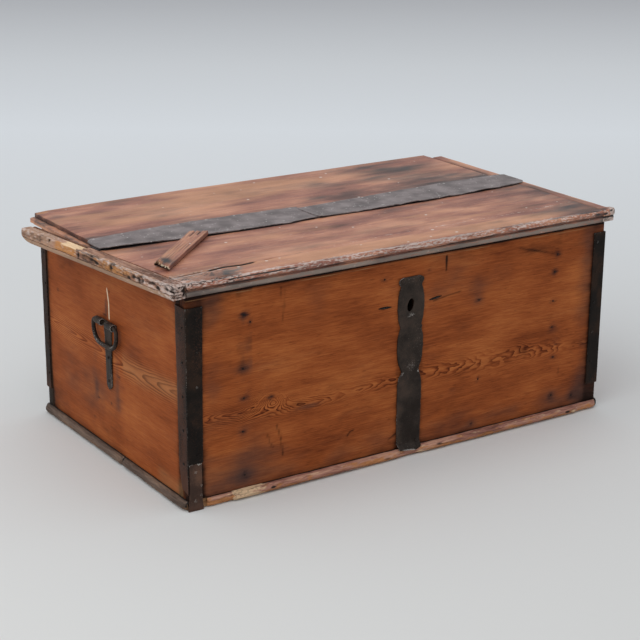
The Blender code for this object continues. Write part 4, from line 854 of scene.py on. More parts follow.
# Each iron's ways out of the end and the face, and the heights and widths of its two legs.
HEAD_RADIUS, HEAD_PROUD, HEAD_LIFT = 0.0032, 0.0009, 0.0031
heights = np.linspace(0.12, 0.41, 5)
whole = (0, IRON_TOP)
for label, to_side, to_face, end_leg, face_leg, foot, seed in (
    ("front_left", -1, -1, ((0.036, 0.085, IRON_TOP), (0.022, 0.033, 0.041)),
     ((0, 1), (0.0327, 0.0427)), spur_foot, 91),
    ("front_right", 1, -1, (whole, (0.041, 0.041)), (whole, (0.032, 0.032)), plain_foot, 92),
    ("rear_left", -1, 1, (whole, (0.022, 0.022)), (whole, (0.040, 0.040)), plain_foot, 93),
    ("rear_right", 1, 1, (whole, (0.022, 0.022)), (whole, (0.040, 0.040)), plain_foot, 94),
):
    name, corner = label + "_corner_iron", (to_side * BODY_END, to_face * BODY_BACK)
    corner_iron(
        name, corner, to_side, to_face,
        lambda z: np.interp(z, *end_leg), lambda z: np.interp(z, *face_leg), foot, seed,
    )
    across, out = np.full(5, corner[0] - to_side * 0.021), np.full(5, corner[1] + to_face * HEAD_LIFT)
    on_face = np.stack([across, out, heights], -1)
    out, across = np.full(5, corner[0] + to_side * HEAD_LIFT), np.full(5, corner[1] - to_face * 0.013)
    on_end = np.stack([out, across, heights - 0.02], -1)
    heads = gather([
        nail_heads(on_face, (0, to_face, 0), HEAD_RADIUS, HEAD_PROUD, seed + 10),
        nail_heads(on_end, (to_side, 0, 0), HEAD_RADIUS, HEAD_PROUD, seed + 20),
    ])
    wear = 0.15 + 0.3 * unevenness(heads[0][:, 2], heads[0][:, 0], 0.03, 1.0, seed)
    make_piece(
        name + "_nails", heads, wrought_iron, "chest", (), None, {"wear": wear}, sharp=50
    )

# Shoe: a small iron plate beaten flat and nailed over the foot of the corner. Its top edge is ragged and worn
# bright, and its foot flares out over the floor.
SHOE_LEFT, SHOE_RIGHT, SHOE_FOOT, SHOE_TOP = -0.5490, -0.5200, 0.001, 0.1005
SHOE_FACE, SHOE_SHEET = -0.3373, 0.003
u, v = np.meshgrid(lines(0, 1, 0.08), np.concatenate([np.linspace(0, 0.96, 24), [0.985, 1.0]]), indexing="ij")
wavy = 0.0006 * unevenness(v, u, 0.15, 2.0, 3) * (abs(u - 0.5) - 0.5 < -0.01)
x = SHOE_LEFT + u * (SHOE_RIGHT - SHOE_LEFT) + wavy
ragged = 0.0035 * np.clip(0.5 + unevenness(u, 0, 0.12, 1, 4, 3), 0, 1.4)
z = SHOE_FOOT + v * (SHOE_TOP - SHOE_FOOT - ragged + 0.004 * (1 - u))
flare = step(z, 0.022, 0.002)
x = x - 0.006 * flare * (1 - u)
dent = 0.0006 * (1 + unevenness(x, z, 0.015, 0.02, 5)) + 0.0012 * (v == 1.0) + 0.0008 * ((u == 0) | (u == 1))
face = np.stack([x, SHOE_FACE + dent - 0.005 * flare, z], -1)
back = np.stack([x, SHOE_FACE + SHOE_SHEET - 0.005 * flare, z], -1)
wear = 0.95 * step(v, 0.955, 0.99) * (0.5 + 0.8 * unevenness(u, 0, 0.2, 1, 6, 2))
wear += 0.2 * step(abs(u - 0.5), 0.42, 0.5)
# Browner iron: the shoe has rusted where the chest stood on damp floors.
rusty_iron = forged_iron(
    "rust_browned_iron", ("#3E2E27", "#523D33", "#664A3B"), "#A59F98", rough=0.65, metal=0.15
)
make_piece(
    "front_left_corner_shoe_beaten", slab(face, back), rusty_iron, "chest",
    ("front_left_corner_shoe",), None, {"wear": both(wear), "rust": both(0.35 * flare)},
)
shoe_nails = ((-0.535, 0.083), (-0.5225, 0.052), (-0.5225, 0.031), (-0.536, 0.020))
places = [(across, SHOE_FACE + 0.0002, height) for across, height in shoe_nails]
heads = nail_heads(places, (0, -1, 0), 0.0034, 0.0011, 97)
make_piece(
    "front_left_corner_shoe_nails", heads, rusty_iron, "chest", (), None,
    {"wear": np.full(len(heads[0]), 0.4)}, sharp=50,
)


# Lock strap: a long forged plate with pinched waists, nailed over the front; its keyhole is worn to a slanting
# oval and its foot is bent out over the base moulding.
STRAP_FACE, STRAP_SHEET, STRAP_FOOT, STRAP_TOP = -0.3373, 0.003, 0.0125, 0.4115
KEYHOLE_SLANT, KEYHOLE_SNAP = 0.16, 0.11
# Outline: height and half width.
strap_outline = np.array((
    (0.0125, 0.0285), (0.020, 0.0305), (0.030, 0.0315), (0.070, 0.0320), (0.150, 0.0325), (0.172, 0.0318),
    (0.186, 0.0285), (0.194, 0.0235), (0.198, 0.0222), (0.203, 0.0240), (0.214, 0.0292), (0.230, 0.0328),
    (0.252, 0.0345), (0.276, 0.0335), (0.291, 0.0298), (0.299, 0.0275), (0.306, 0.0298), (0.318, 0.0330),
    (0.340, 0.0355), (0.362, 0.0345), (0.380, 0.0318), (0.391, 0.0278), (0.397, 0.0310), (0.402, 0.0336),
    (0.4065, 0.0318), (0.4095, 0.027), (0.4115, 0.020),
))
z = lines(STRAP_FOOT, STRAP_TOP, 0.0035, (0.346, 0.021, 0.0014), (0.198, 0.02, 0.0018), (0.402, 0.010, 0.0015))
edge = np.array((0, 0.015, 0.05))
u = np.concatenate([edge - 1, np.linspace(-0.92, 0.92, 47), 1 - edge[::-1]])
z, u = np.meshgrid(z, u, indexing="ij")
half = np.interp(z, *strap_outline.T) + 0.0006 * unevenness(z, np.sign(u), 0.011, 0.7, 61)
half += 0.003 * stain(z, u, (0.297, 1.0), (0.003, 0.2))
x = u * half
# Points near the keyhole's oval are pulled onto it, and the cells inside it left out.
oval = (x - KEYHOLE_MIDDLE[0] - KEYHOLE_SLANT * (z - KEYHOLE_MIDDLE[1]), z - KEYHOLE_MIDDLE[1])
around = np.hypot(oval[0] / KEYHOLE_HALF[0], oval[1] / KEYHOLE_HALF[1])
snapped = abs(around - 1) < KEYHOLE_SNAP
pull = np.where(snapped, 1 / around, 1.0)
x, z = x + oval[0] * (pull - 1), z + oval[1] * (pull - 1)
around = np.where(snapped, 1.0, around)
keep = np.minimum.reduce([around[:-1, :-1], around[1:, :-1], around[:-1, 1:], around[1:, 1:]]) > 0.95
rim = np.minimum(np.minimum(half - abs(x), STRAP_TOP - z), 0.004)
dent = rounded(rim, 0.0018) + 0.0004 * (1 + unevenness(x, z, 0.018, 0.022, 62))
dent += 0.0011 * stain(x, z, (0.0, 0.326), (0.008, 0.006)) - 0.0022 * bell(z - 0.198, 0.012) * abs(u)
dent += 0.0012 * (rounded(np.clip((around - 1) * 0.010, 0, 1), 0.0016) / 0.0016)
flare = 0.0085 * step(z, 0.0295, 0.0140)
tip = 0.55 * step(z, 0.0165, 0.0135) * step(abs(u + 0.1), 0.75, 0.45)
slope = 0.0065 * np.clip((0.55 - u) / 1.55, 0, 1) + 0.006 * np.clip((u - 0.55) / 0.45, 0, 1)
z = z + step(z, 0.05, 0.0125) * slope
face = np.stack([x, STRAP_FACE + dent - flare, z], -1)
back = np.stack([x, STRAP_FACE + STRAP_SHEET + 0 * x - flare, z], -1)
wear = 0.30 * step(abs(u), 0.93, 1.0) * (0.6 + unevenness(z, u, 0.03, 1.0, 63)) + tip
wear += 0.6 * stain(z, abs(u), (0.194, 0.88), (0.006, 0.12)) + 0.32 * stain(z, u, (0.208, 0.1), (0.016, 0.6))
wear += 0.62 * stain(x, z, (0.0, 0.326), (0.014, 0.007)) + 0.20 * unevenness(x, z, 0.05, 0.07, 64)
wear += 0.5 * stain(x + 0.5 * z, z - 0.6 * x, (0.033, 0.096), (0.012, 0.0012))
# The strap's iron: the same forging, handled more, so browner and a shade lighter.
strap_iron = forged_iron(
    "handled_wrought_iron", ("#241D19", "#332B26", "#433730"), "#A8A29C", rough=0.56, metal=0.1
)
make_piece(
    "lock_plate_forged", slab(face, back, keep), strap_iron, "chest", ("lock_plate",), None,
    {"wear": both(wear, 0.1)},
)
# The lock's two holding nails: driven from inside and their points hammered flat across the front board.
EAR_FACE, EAR_MIDDLE = -0.3072, 0.352
for side, start, end in (
    ("left", (-0.085, 0.3525), (-0.051, 0.3515)), ("right", (0.049, 0.3505), (0.083, 0.3545))
):
    s = np.linspace(0, 1, 13)[:, None]
    t = np.arange(10)[None, :] * 2 * math.pi / 10
    swell = np.sin(np.pi * np.clip(s, 0.03, 0.97)) ** 0.6
    reach = np.array((end[0] - start[0], 0, end[1] - start[1]))
    spine = np.array((start[0], FRONT - 0.0002, start[1])) + s[..., None] * reach
    rings = spine + np.cos(t)[..., None] * swell[..., None] * (0, 0, 0.0028)
    rings = rings - np.sin(t)[..., None] * swell[..., None] * (0, 0.0019, 0)
    head = nail_heads([((start[0] + end[0]) / 2, EAR_FACE, EAR_MIDDLE)], (0, 1, 0), 0.0042, 0.0018, 65)
    wear = np.concatenate([(0.35 * np.clip(np.sin(t), 0, 1) ** 3 * swell).ravel(), np.full(len(head[0]), 0.2)])
    make_piece(
        "lock_clenched_nail_%s_beaten" % side, gather([loft(rings), head]), wrought_iron,
        "chest", ("lock_clenched_nail_" + side,), None, {"wear": wear},
    )


def dress(material, *nodes):
    """Give a material to CAD nodes that keep their cut shapes."""
    for node in nodes:
        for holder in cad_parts[node].material_slots:
            holder.material = material


# Lock case, bolt and staple keep their cut shapes in oiled, smoother iron, the strap's nails in its own iron.
lock_iron = forged_iron("oiled_lock_iron", ("#2A2624", "#3A3431", "#4A3C33"), "#9A958F", rough=0.42, metal=0.7)
dress(lock_iron, "lock_case", "lock_bolt", "lid_staple")
strap_nails = ["lock_plate_nail_%s_%s" % (end, side) for end in ("foot", "top") for side in ("left", "right")]
dress(strap_iron, *strap_nails)


# Drop handles: on each end a forged strap whose two arms are rolled into eyes, with a bail of round rod hung in
# them. The strap tapers to a blunt point and is held by two nails.
EYE_BORE, EYE_RADIUS, EYE_NEAR, EYE_FAR = 0.0055, 0.008, 0.012, 0.040
AXIS_OUT, HANDLE_SHEET, ARM_HALF = 0.0091, 0.003, 0.0388
BAIL_HALF, BAIL_DROP, BAIL_SHOULDER, BAIL_BELLY, ROD_RADIUS = 0.054, 0.050, 0.010, 0.034, 0.005
EYE_SIDES, ROD_SIDES = 20, 14
handle_outline = np.array((
    (-0.151, 0.0015), (-0.147, 0.0080), (-0.142, 0.0125), (-0.09, 0.0142), (-0.02, 0.0165), (-0.0085, 0.0185),
    (-0.0055, ARM_HALF), (0.0045, ARM_HALF),
))
# Section of an eye as reach and radius, and how bright each of its edges is rubbed.
eye_section = np.array((
    (EYE_NEAR, EYE_RADIUS - 0.001), (EYE_NEAR + 0.001, EYE_RADIUS), (0.026, EYE_RADIUS - 0.0004),
    (EYE_FAR - 0.001, EYE_RADIUS), (EYE_FAR, EYE_RADIUS - 0.001), (EYE_FAR, EYE_BORE + 0.0006),
    (EYE_FAR - 0.001, EYE_BORE), (EYE_NEAR + 0.001, EYE_BORE), (EYE_NEAR, EYE_BORE + 0.0006),
))
eye_wear = (0.75, 0.3, 0.1, 0.3, 0.75, 0.3, 0.1, 0.1, 0.3)
# The handles' iron, rubbed clean of scale by hands: grey brown with a dull shine.
handle_iron = forged_iron(
    "hand_rubbed_iron", ("#231D1B", "#352D28", "#483D35"), "#A8A29C", rough=0.5, metal=0.15
)
for side, way in (("left", -1), ("right", 1)):
    wall = BODY_END * way
    up = np.concatenate([np.linspace(-0.151, -0.0085, 44), np.linspace(-0.0055, 0.0045, 6)])
    u = np.concatenate([[-1, -0.96], np.linspace(-0.88, 0.88, 15), [0.96, 1]])
    up, u = np.meshgrid(up, u, indexing="ij")
    half = np.interp(up, *handle_outline.T) * (1 + 0.03 * unevenness(up, np.sign(u), 0.02, 0.7, 70 + way))
    on_edge = abs(u) > 0.95
    dent = 0.0007 * on_edge + 0.00035 * (1 + unevenness(up, u, 0.02, 0.6, 71))
    y = HANDLE_Y + u * half
    face = np.stack([wall + way * (IRON_FIT + HANDLE_SHEET - dent), y, HANDLE_Z + up], -1)
    back = np.stack([np.full(y.shape, wall + way * IRON_FIT), y, HANDLE_Z + up], -1)
    shapes = [slab(face, back)]
    wear = [both(0.4 * on_edge + 0.3 * unevenness(up, u, 0.03, 1.0, 72))]
    turn = np.arange(EYE_SIDES)[:, None] * 2 * math.pi / EYE_SIDES
    reach, radius = eye_section[:, 0] + 0 * turn, eye_section[:, 1] + 0 * turn
    out, rise = wall + way * (AXIS_OUT + radius * np.cos(turn)), HANDLE_Z + radius * np.sin(turn)
    for end in (-1, 1):
        shapes.append(loft(np.stack([out, HANDLE_Y + end * reach, rise], -1), closed=True))
        wear.append(np.tile(eye_wear, EYE_SIDES))
    make_piece(
        side + "_handle_strap_forged", gather(shapes), handle_iron, "chest",
        (side + "_handle_strap",), None, {"wear": np.concatenate(wear)},
    )
    # Bail: rod bent to a shallow bow, thinner in the eyes, thickest and rubbed bright in the belly.
    shoulder, belly = np.radians(np.linspace(90, 0, 9)), np.radians(np.linspace(0, -90, 16)[1:])
    across = np.concatenate([
        np.linspace(EYE_NEAR + 0.003, BAIL_HALF - BAIL_SHOULDER, 8)[:-1],
        BAIL_HALF - BAIL_SHOULDER + BAIL_SHOULDER * np.cos(shoulder),
        BAIL_HALF - BAIL_BELLY + BAIL_BELLY * np.cos(belly),
    ])
    drop = np.concatenate([
        np.zeros(7), BAIL_SHOULDER * (np.sin(shoulder) - 1), BAIL_BELLY * (np.sin(belly) + 1) - BAIL_DROP
    ])
    across, drop = np.concatenate([across, -across[::-1]]), np.concatenate([drop, drop[::-1]])
    heading = np.stack([np.gradient(across), np.gradient(drop)], -1)
    heading = heading / np.linalg.norm(heading, axis=1, keepdims=True)
    low = np.clip(-drop / BAIL_DROP, 0, 1)
    station = np.arange(len(across))
    radius = ROD_RADIUS * (0.86 + 0.13 * low + 0.03 * unevenness(station, 0, 5, 1, 73))
    radius = np.minimum(radius, ROD_RADIUS) * np.where(station % (len(across) - 1) == 0, 0.75, 1.0)
    turn = np.arange(ROD_SIDES)[None, :] * 2 * math.pi / ROD_SIDES
    off_plane, off_line = radius[:, None] * np.cos(turn), radius[:, None] * np.sin(turn)
    rings = np.stack(
        [
            wall + way * (AXIS_OUT + off_plane),
            HANDLE_Y + across[:, None] - heading[:, 1:] * off_line,
            HANDLE_Z + drop[:, None] + heading[:, :1] * off_line,
        ],
        -1,
    )
    wear = (0.15 + 0.4 * low[:, None]) * (0.7 + 0.5 * unevenness(across[:, None], turn, 0.02, 1.5, 74))
    make_piece(
        side + "_bail_forged", loft(rings), handle_iron, side + "_bail",
        (side + "_bail",), None, {"wear": wear},
    )
    dress(handle_iron, side + "_handle_nail_upper", side + "_handle_nail_lower")
    # Strap hinges behind, their pins and nails: the same black forged iron, shapes as cut.
    labels = "strap", "leaf", "pin", "strap_nail_rear", "strap_nail_front", "leaf_nail_upper", "leaf_nail_lower"
    dress(wrought_iron, *("%s_hinge_%s" % (side, label) for label in labels))


# Lid, rear board: pine rubbed thin of its wax by hands and things set down, with black rings and soot, its left
# end dark where the clamp once covered it and its tongue showing as a tan ledge.
LID_TOP, LID_UNDER, JOINT_LINE, LID_BACK = 0.4863, 0.4593, 0.001, 0.334
TONGUE_FOOT, TONGUE_TOP = 0.4683, 0.4773
REAR_LEFT, REAR_RIGHT = -0.570, 0.5305
lid_pine = pine(
    "worn_lid_pine", ("#C68969", "#A56A53", "#865345", "#5A372D"),
    [
        ("wear", "#CB8F6A", 0.022, 0.9, 0.45),
        ("band", "#8B7B70", 0.004, 1.3, 0.30),
        ("flake", "#D6BEB3", 0.0028, 2.1, 0.24),
        ("grime_and_shade", "#2B2324", 0.022, 0.8, 0.5),
        ("fresh_wood_and_highlight", "#FBE2BE", 0.008, 0.5, 0.2),
        ("mark", "#1A1413", 0.004, 0.5, 0.3),
    ],
    rough=0.5, specular=0.45, variety=(0.45, 0.45, 1.7), rings=0.05, specks=0.9, ticks=0.35, crazed=True,
)
# Stains on the rear board: place, half sizes and darkness.
soot = (
    (0.33, 0.25, 0.13, 0.08, 0.66), (0.37, 0.15, 0.11, 0.06, 0.52), (0.13, 0.09, 0.16, 0.040, 0.52),
    (-0.381, 0.299, 0.035, 0.016, 0.50), (-0.333, 0.313, 0.05, 0.010, 0.42), (-0.545, 0.264, 0.020, 0.020, 0.40),
    (0.314, 0.299, 0.04, 0.012, 0.25), (0.396, 0.304, 0.03, 0.012, 0.25), (0.438, 0.325, 0.03, 0.01, 0.3),
    (0.044, 0.102, 0.05, 0.02, 0.22), (0.121, 0.108, 0.03, 0.02, 0.22), (-0.33, 0.115, 0.08, 0.05, 0.55),
    (0.42, 0.10, 0.10, 0.04, 0.35), (0.02, 0.285, 0.04, 0.006, 0.2), (0.28, 0.09, 0.10, 0.03, 0.30),
    (0.12, 0.21, 0.07, 0.04, 0.32),
)
x, y = np.meshgrid(lines(REAR_LEFT, REAR_RIGHT, 0.0045), lines(JOINT_LINE, LID_BACK, 0.0045), indexing="ij")
back = LID_BACK - 0.012 * np.clip((-0.2 - x) / 0.37, 0, 1)
y = JOINT_LINE + (y - JOINT_LINE) * (back - JOINT_LINE) / (LID_BACK - JOINT_LINE)
inset = np.minimum(np.minimum(x - REAR_LEFT, REAR_RIGHT - x), back - y)
chip = stain(x, y, (-0.556, 0.312), (0.012, 0.007))
dip = rounded(inset, 0.002) + 0.0004 * (1 + unevenness(x, y, 0.2, 0.03, 101)) + 0.0035 * chip
dip += 0.0008 * step(x - REAR_LEFT, 0.02, 0) * (1 + unevenness(y, x, 0.03, 0.02, 102))
upper = np.stack([x, y, LID_TOP - dip], -1)
lower = np.stack([x, y, LID_UNDER + rounded(np.minimum(inset, y - JOINT_LINE), ARRIS)], -1)
end_face = (x - REAR_LEFT < 0.0003).astype(float)
grime_and_shade = stains(x, y, *soot) + 0.22 * fade(x - REAR_LEFT, 0.03)
grime_and_shade += 0.35 * step(x, 0.38, 0.55) * step(y, 0.20, 0.10)
grime_and_shade += 0.46 * step(y, 0.10, 0.05) + 0.26 * unevenness(x, y, 0.22, 0.06, 103, 3) + 0.25 * fade(back - y, 0.006)
grime_and_shade = np.where(end_face > 0, 0.62, grime_and_shade) * (1 - np.clip(chip, 0, 1))
wear = 0.50 * unevenness(x, y, 0.30, 0.045, 104, 3) + 1.2 * chip + 0.35 * fade(back - y, 0.012)
wear += stains(
    x, y, (-0.30, 0.20, 0.22, 0.10, 0.35), (-0.08, 0.25, 0.20, 0.08, 1.1), (-0.48, 0.21, 0.06, 0.05, 0.40)
)
shapes = [slab(upper, lower)]
grain = [shapes[0][0] - np.array((3.0, 0.19, LID_TOP + 0.055))]
grimes, wears = [both(grime_and_shade, 0.25 + 0.4 * end_face)], [both(wear, 0.9 - 0.9 * end_face)]
# Its two tongues: the left one bare and nibbled, the right one in the clamp's groove.
for left, right, rear in ((-0.588, REAR_LEFT + 0.002, 0.317), (REAR_RIGHT - 0.002, 0.547, 0.330)):
    x, y = np.meshgrid(lines(left, right, 0.003), lines(0.004, rear, 0.005), indexing="ij")
    nibble = 0.0035 * np.clip(unevenness(y, 0 * x, 0.03, 1, 105, 3), 0, 1) + rounded(rear - y, 0.009)
    nibble = nibble * step(REAR_LEFT - x, 0.004, 0.016)
    ledge = TONGUE_TOP - 0.0006 * (1 + unevenness(x, y, 0.01, 0.03, 106))
    upper = np.stack([x + nibble, y, ledge], -1)
    lower = np.stack([x + nibble, y, np.full(x.shape, TONGUE_FOOT)], -1)
    shapes.append(slab(upper, lower))
    grain.append(shapes[-1][0] + np.array((2.0, 0.3, 0.02)))
    dirt = 0.55 * step(x, -0.576, -0.571) * (x < 0) + 0.40 + 0.35 * unevenness(x, y, 0.012, 0.03, 107, 3)
    grimes.append(both(dirt))
    wears.append(both(0.45 + 0 * x, 0.8))
grain = np.concatenate(grain)
make_piece(
    "rear_lid_board_worn", gather(shapes), lid_pine, "lid", ("rear_lid_board",), grain,
    {"grime_and_shade": np.concatenate(grimes), "wear": np.concatenate(wears), "clean": grain[:, 2] < -0.070},
)


# Lid, front board and right clamp: both carry the moulded front edge, a nose over a quirk and a flat band. The
# nose is bruised and flaking, its left stretch is broken away, and a crack opens behind it at the left.
LID_FRONT, NOSE_DEPTH, NOSE_HALF, QUIRK_DEPTH, QUIRK_HEIGHT = -0.348, 0.008, 0.00825, 0.0055, 0.0013
BAND_SETBACK, BAND_DROP, BAND_BACK = 0.003, 0.0014, 0.0122
QUIRK_TOP = LID_TOP - 2 * NOSE_HALF
CLAMP_PLACE, CLAMP_TURN = np.array((-0.554, -0.340, LID_TOP)), math.radians(6.5)
RIGHT_CLAMP_LEFT, RIGHT_CLAMP_RIGHT, RIGHT_CLAMP_REAR = 0.5345, 0.565, 0.300
crack_line = np.array((
    (-0.60, -0.292), (-0.541, -0.290), (-0.471, -0.285), (-0.43, -0.279), (-0.392, -0.284), (-0.347, -0.279),
    (-0.122, -0.264), (0.006, -0.255), (0.211, -0.257), (0.333, -0.256), (0.465, -0.248), (0.60, -0.240),
))


def moulded_bar(left, right, rear, top_count):
    """The moulded edge carried along X: a closed section of underside, band, quirk, half-ellipse nose, top and
    rear face. Left is a function of Y, so that the end can follow the sprung clamp. Returns the rings and each
    point's distance behind the crack."""
    nose_middle, nose_root = LID_TOP - NOSE_HALF, LID_FRONT + NOSE_DEPTH
    band_foot, band = LID_UNDER - BAND_DROP, LID_FRONT + BAND_SETBACK
    angle = np.radians(np.linspace(250, 90, 20))
    under = np.linspace(rear, LID_FRONT + BAND_BACK + 0.0008, 9)
    y = np.concatenate([
        under,
        [LID_FRONT + BAND_BACK, band + 0.0016, band, band, band, band],
        np.full(2, LID_FRONT + QUIRK_DEPTH),
        nose_root + NOSE_DEPTH * np.cos(angle),
    ])
    z = np.concatenate([
        np.full(9, LID_UNDER),
        [band_foot, band_foot, band_foot + 0.0014, band_foot + 0.004, QUIRK_TOP - 0.004],
        [QUIRK_TOP - QUIRK_HEIGHT, QUIRK_TOP - QUIRK_HEIGHT, QUIRK_TOP - 0.0003],
        nose_middle + NOSE_HALF * np.sin(angle),
    ])
    s = np.linspace(0, 1, round((right - left(0)) / 0.004) + 1)[:, None]
    x_mid = left(-0.28) + s * (right - left(-0.28))
    split = np.interp(x_mid, *crack_line.T)
    ahead, behind = np.linspace(0.02, 1, 16)[None, :], np.linspace(0, 1, top_count)[None, :]
    near = nose_root + ahead * (split - 0.0036 - nose_root)
    gap = split + np.array((-0.0024, -0.0015, -0.0009, -0.0004, 0.0002, 0.0007, 0.0014, 0.0024))
    far = split + 0.0036 + behind * (rear - 0.0016 - split - 0.0036)
    tail = np.full(s.shape, rear)
    y = np.concatenate([np.broadcast_to(y, (len(s), len(y))), near, gap, far, tail, tail], 1)
    top = np.full((len(s), near.shape[1] + gap.shape[1] + far.shape[1]), LID_TOP)
    ends = tail * 0 + LID_TOP - 0.0016, tail * 0 + LID_UNDER + 0.003
    z = np.concatenate([np.broadcast_to(z, (len(s), len(z))), top, *ends], 1)
    x = left(y) + s * (right - left(y))
    return np.stack([x, y, z], -1), y - np.interp(x, *crack_line.T)


def edge_faces(y, z):
    """Masks of the moulded edge, 0 to 1, from smooth steps in depth and height: the flat top, the face of the
    nose, the band, the nose with the top just behind it, and the quirk, which is given painted shade."""
    return (
        step(z, LID_TOP - 0.001, LID_TOP - 0.0002),
        step(z, QUIRK_TOP - 0.0002, QUIRK_TOP + 0.001) * step(y, LID_FRONT + 0.012, LID_FRONT + 0.008),
        step(z, QUIRK_TOP - 0.001, QUIRK_TOP - 0.0015) * (y < LID_FRONT + 0.006),
        step(y, LID_FRONT + 0.016, LID_FRONT + 0.006),
        step(z, QUIRK_TOP + 0.002, QUIRK_TOP) * step(z, LID_TOP - 0.0186, LID_TOP - 0.0180),
    )


# The sheet-iron patch that covers the joint: front and rear edges of its two lengths, as X, front Y and rear Y.
PATCH_MEETING = -0.053
left_edges = np.array((
    (-0.584, -0.040, 0.026), (-0.570, -0.046, 0.044), (-0.456, -0.051, 0.056), (-0.318, -0.060, 0.060),
    (-0.172, -0.064, 0.056), (-0.124, -0.064, 0.052), (-0.050, -0.057, 0.046),
))
right_edges = np.array((
    (-0.056, -0.060, 0.034), (0.05, -0.063, 0.040), (0.130, -0.063, 0.044), (0.262, -0.062, 0.052),
    (0.393, -0.058, 0.056), (0.500, -0.049, 0.055), (0.545, -0.042, 0.054), (0.562, -0.026, 0.046),
))
rings, behind = moulded_bar(
    lambda y: CLAMP_PLACE[0] + 0.0012 - math.tan(CLAMP_TURN) * (y - CLAMP_PLACE[1]),
    REAR_RIGHT + 0.0034, JOINT_LINE - 0.0003, 62,
)
x, y, z = np.moveaxis(rings, -1, 0).copy()
on_top, nose_face, band_face, nosing, quirk_shade = edge_faces(y, z)
edge = step(y, LID_FRONT + 0.022, LID_FRONT + 0.004) * step(z, LID_TOP - 0.013, LID_TOP - 0.004)
broken = step(x, -0.413, -0.437) + 0.3 * bell(x + 0.30, 0.03) + 0.3 * bell(x - 0.10, 0.05)
broken = np.clip(broken, 0, 1)
chips = np.clip(unevenness(x, y, 0.016, 0.006, 112, 3), -0.3, 1.2)
# The crack stands open over three lengths, and the wood before it has sunk.
wide_open = 0.45 * step(x, -0.552, -0.540) * step(x, -0.478, -0.490)
wide_open += step(x, -0.480, -0.462) * step(x, -0.350, -0.370)
wide_open += 0.25 * step(x, -0.34, -0.335) * step(x, -0.30, -0.32)
fall = edge * (0.0009 * (1 + chips) + 0.0030 * broken * (0.55 + chips))
fall += on_top * (0.0060 * wide_open + 0.0003) * bell(behind, 0.0011)
fall += on_top * 0.0016 * wide_open * step(behind, -0.0003, -0.0009) * step(behind, -0.030, -0.004)
fall += on_top * 0.0004 * (1 + unevenness(x, y, 0.2, 0.03, 113))
fall += on_top * 0.002 * rounded(JOINT_LINE - y, 0.003) / 0.003
rings[..., 2] -= fall
fibres = unevenness(x, z, 0.045, 0.0028, 118, 2)
bruise = 0.0007 * (1 + fibres) + 0.0016 * np.clip(chips, 0, 1) + 0.0022 * broken * (0.4 + chips)
rings[..., 1] += nose_face * bruise
patch_front = [np.interp(x, *edges[:, :2].T) for edges in (left_edges, right_edges)]
# Painted shadow on the lid just in front of the patch, under its lifted front edge.
patch_edge_shadow = step(y - np.where(x < PATCH_MEETING, *patch_front), -0.0022, 0.0006)
# Strip: the top between nose and crack. Slate: a grey slanting patch at its left.
strip = on_top * step(y, -0.345, -0.325) * step(y, -0.272, -0.287)
slate = on_top * step(abs(x + 0.432 - 0.5 * (y + 0.32)), 0.030, 0.018) * step(y, -0.286, -0.296)
slate = slate * (0.8 + 0.5 * unevenness(x, y, 0.02, 0.01, 127, 2)) * step(y, -0.340, -0.325)
grime_and_shade = on_top * stains(
    x, y,
    (0.08, -0.235, 0.12, 0.03, 0.30), (0.46, -0.29, 0.09, 0.05, 0.60), (-0.50, -0.07, 0.05, 0.04, 0.32),
    (0.40, -0.285, 0.09, 0.02, 0.32), (0.137, -0.085, 0.05, 0.02, 0.42), (-0.486, -0.106, 0.04, 0.03, 0.30),
    (-0.296, -0.189, 0.03, 0.02, 0.30),
)
grime_and_shade += on_top * (0.5 * wide_open * bell(behind, 0.0045) + 0.30 * step(x, 0.38, 0.53) + 0.95 * patch_edge_shadow)
grime_and_shade += on_top * (0.22 * step(y, -0.10, -0.055) + 0.26 * unevenness(x, y, 0.22, 0.05, 114, 3))
# Painted shade in the quirk under the nose, in the last term.
grime_and_shade += on_top * 0.36 * step(x, -0.40, -0.46) * step(y, -0.275, -0.295) + 0.30 * slate + 0.40 * quirk_shade
grime_and_shade += nose_face * 0.42 * np.clip(unevenness(x, z, 0.05, 0.003, 115, 3), -0.6, 1)
# The lower half of the nose is darkened: painted shade where it turns down.
grime_and_shade += nose_face * 0.48 * step(z, LID_TOP - 0.007, LID_TOP - 0.013) + 0.18 * fade(REAR_RIGHT - x, 0.012)
grime_and_shade += nose_face * 0.8 * stain(x, z, (0.516, LID_TOP - 0.006), (0.010, 0.005))
grime_and_shade += band_face * 0.35 * np.clip(unevenness(x, z, 0.09, 0.008, 119, 3), 0, 1)
# Painted shade along the foot of the band, over the gap between lid and chest.
grime_and_shade += band_face * 0.32 * step(z, LID_UNDER + 0.005, LID_UNDER - 0.001)
split_line = bell(z - LID_TOP + 0.0038, 0.0011) * step(x, -0.47, -0.45) * step(x, -0.28, -0.31)
mark = nose_face * (1.2 * split_line + 1.1 * stain(x, z, (-0.551, LID_TOP - 0.0140), (0.003, 0.0022)))
mark += on_top * 1.2 * wide_open * bell(behind, 0.0022)
mark += on_top * 0.5 * stain(x, y, (-0.470, -0.325), (0.012, 0.003))
dashes = np.clip(unevenness(x, 0, 0.035, 1, 128, 2) + 0.15, 0, 1) * step(x, -0.34, -0.30)
mark += on_top * 0.9 * dashes * bell(behind + 0.0004, 0.0012)
flake = (0.44 - 0.08 * step(x, 0.1, 0.4)) * (1 + 0.35 * unevenness(x, z, 0.06, 0.006, 116, 3))
flake = flake * nosing * nose_face * step(z, LID_TOP - 0.0135, LID_TOP - 0.008)
brow = 0.34 * step(y, LID_FRONT + 0.020, LID_FRONT + 0.012)
flake += on_top * (brow * (1 + 0.5 * unevenness(x, y, 0.05, 0.01, 120)) + 0.30 * broken * nosing)
lips = 0.42 * bell(behind, 0.0030) * step(x, -0.20, -0.10) * (0.8 + 0.5 * unevenness(x, y, 0.04, 1, 121))
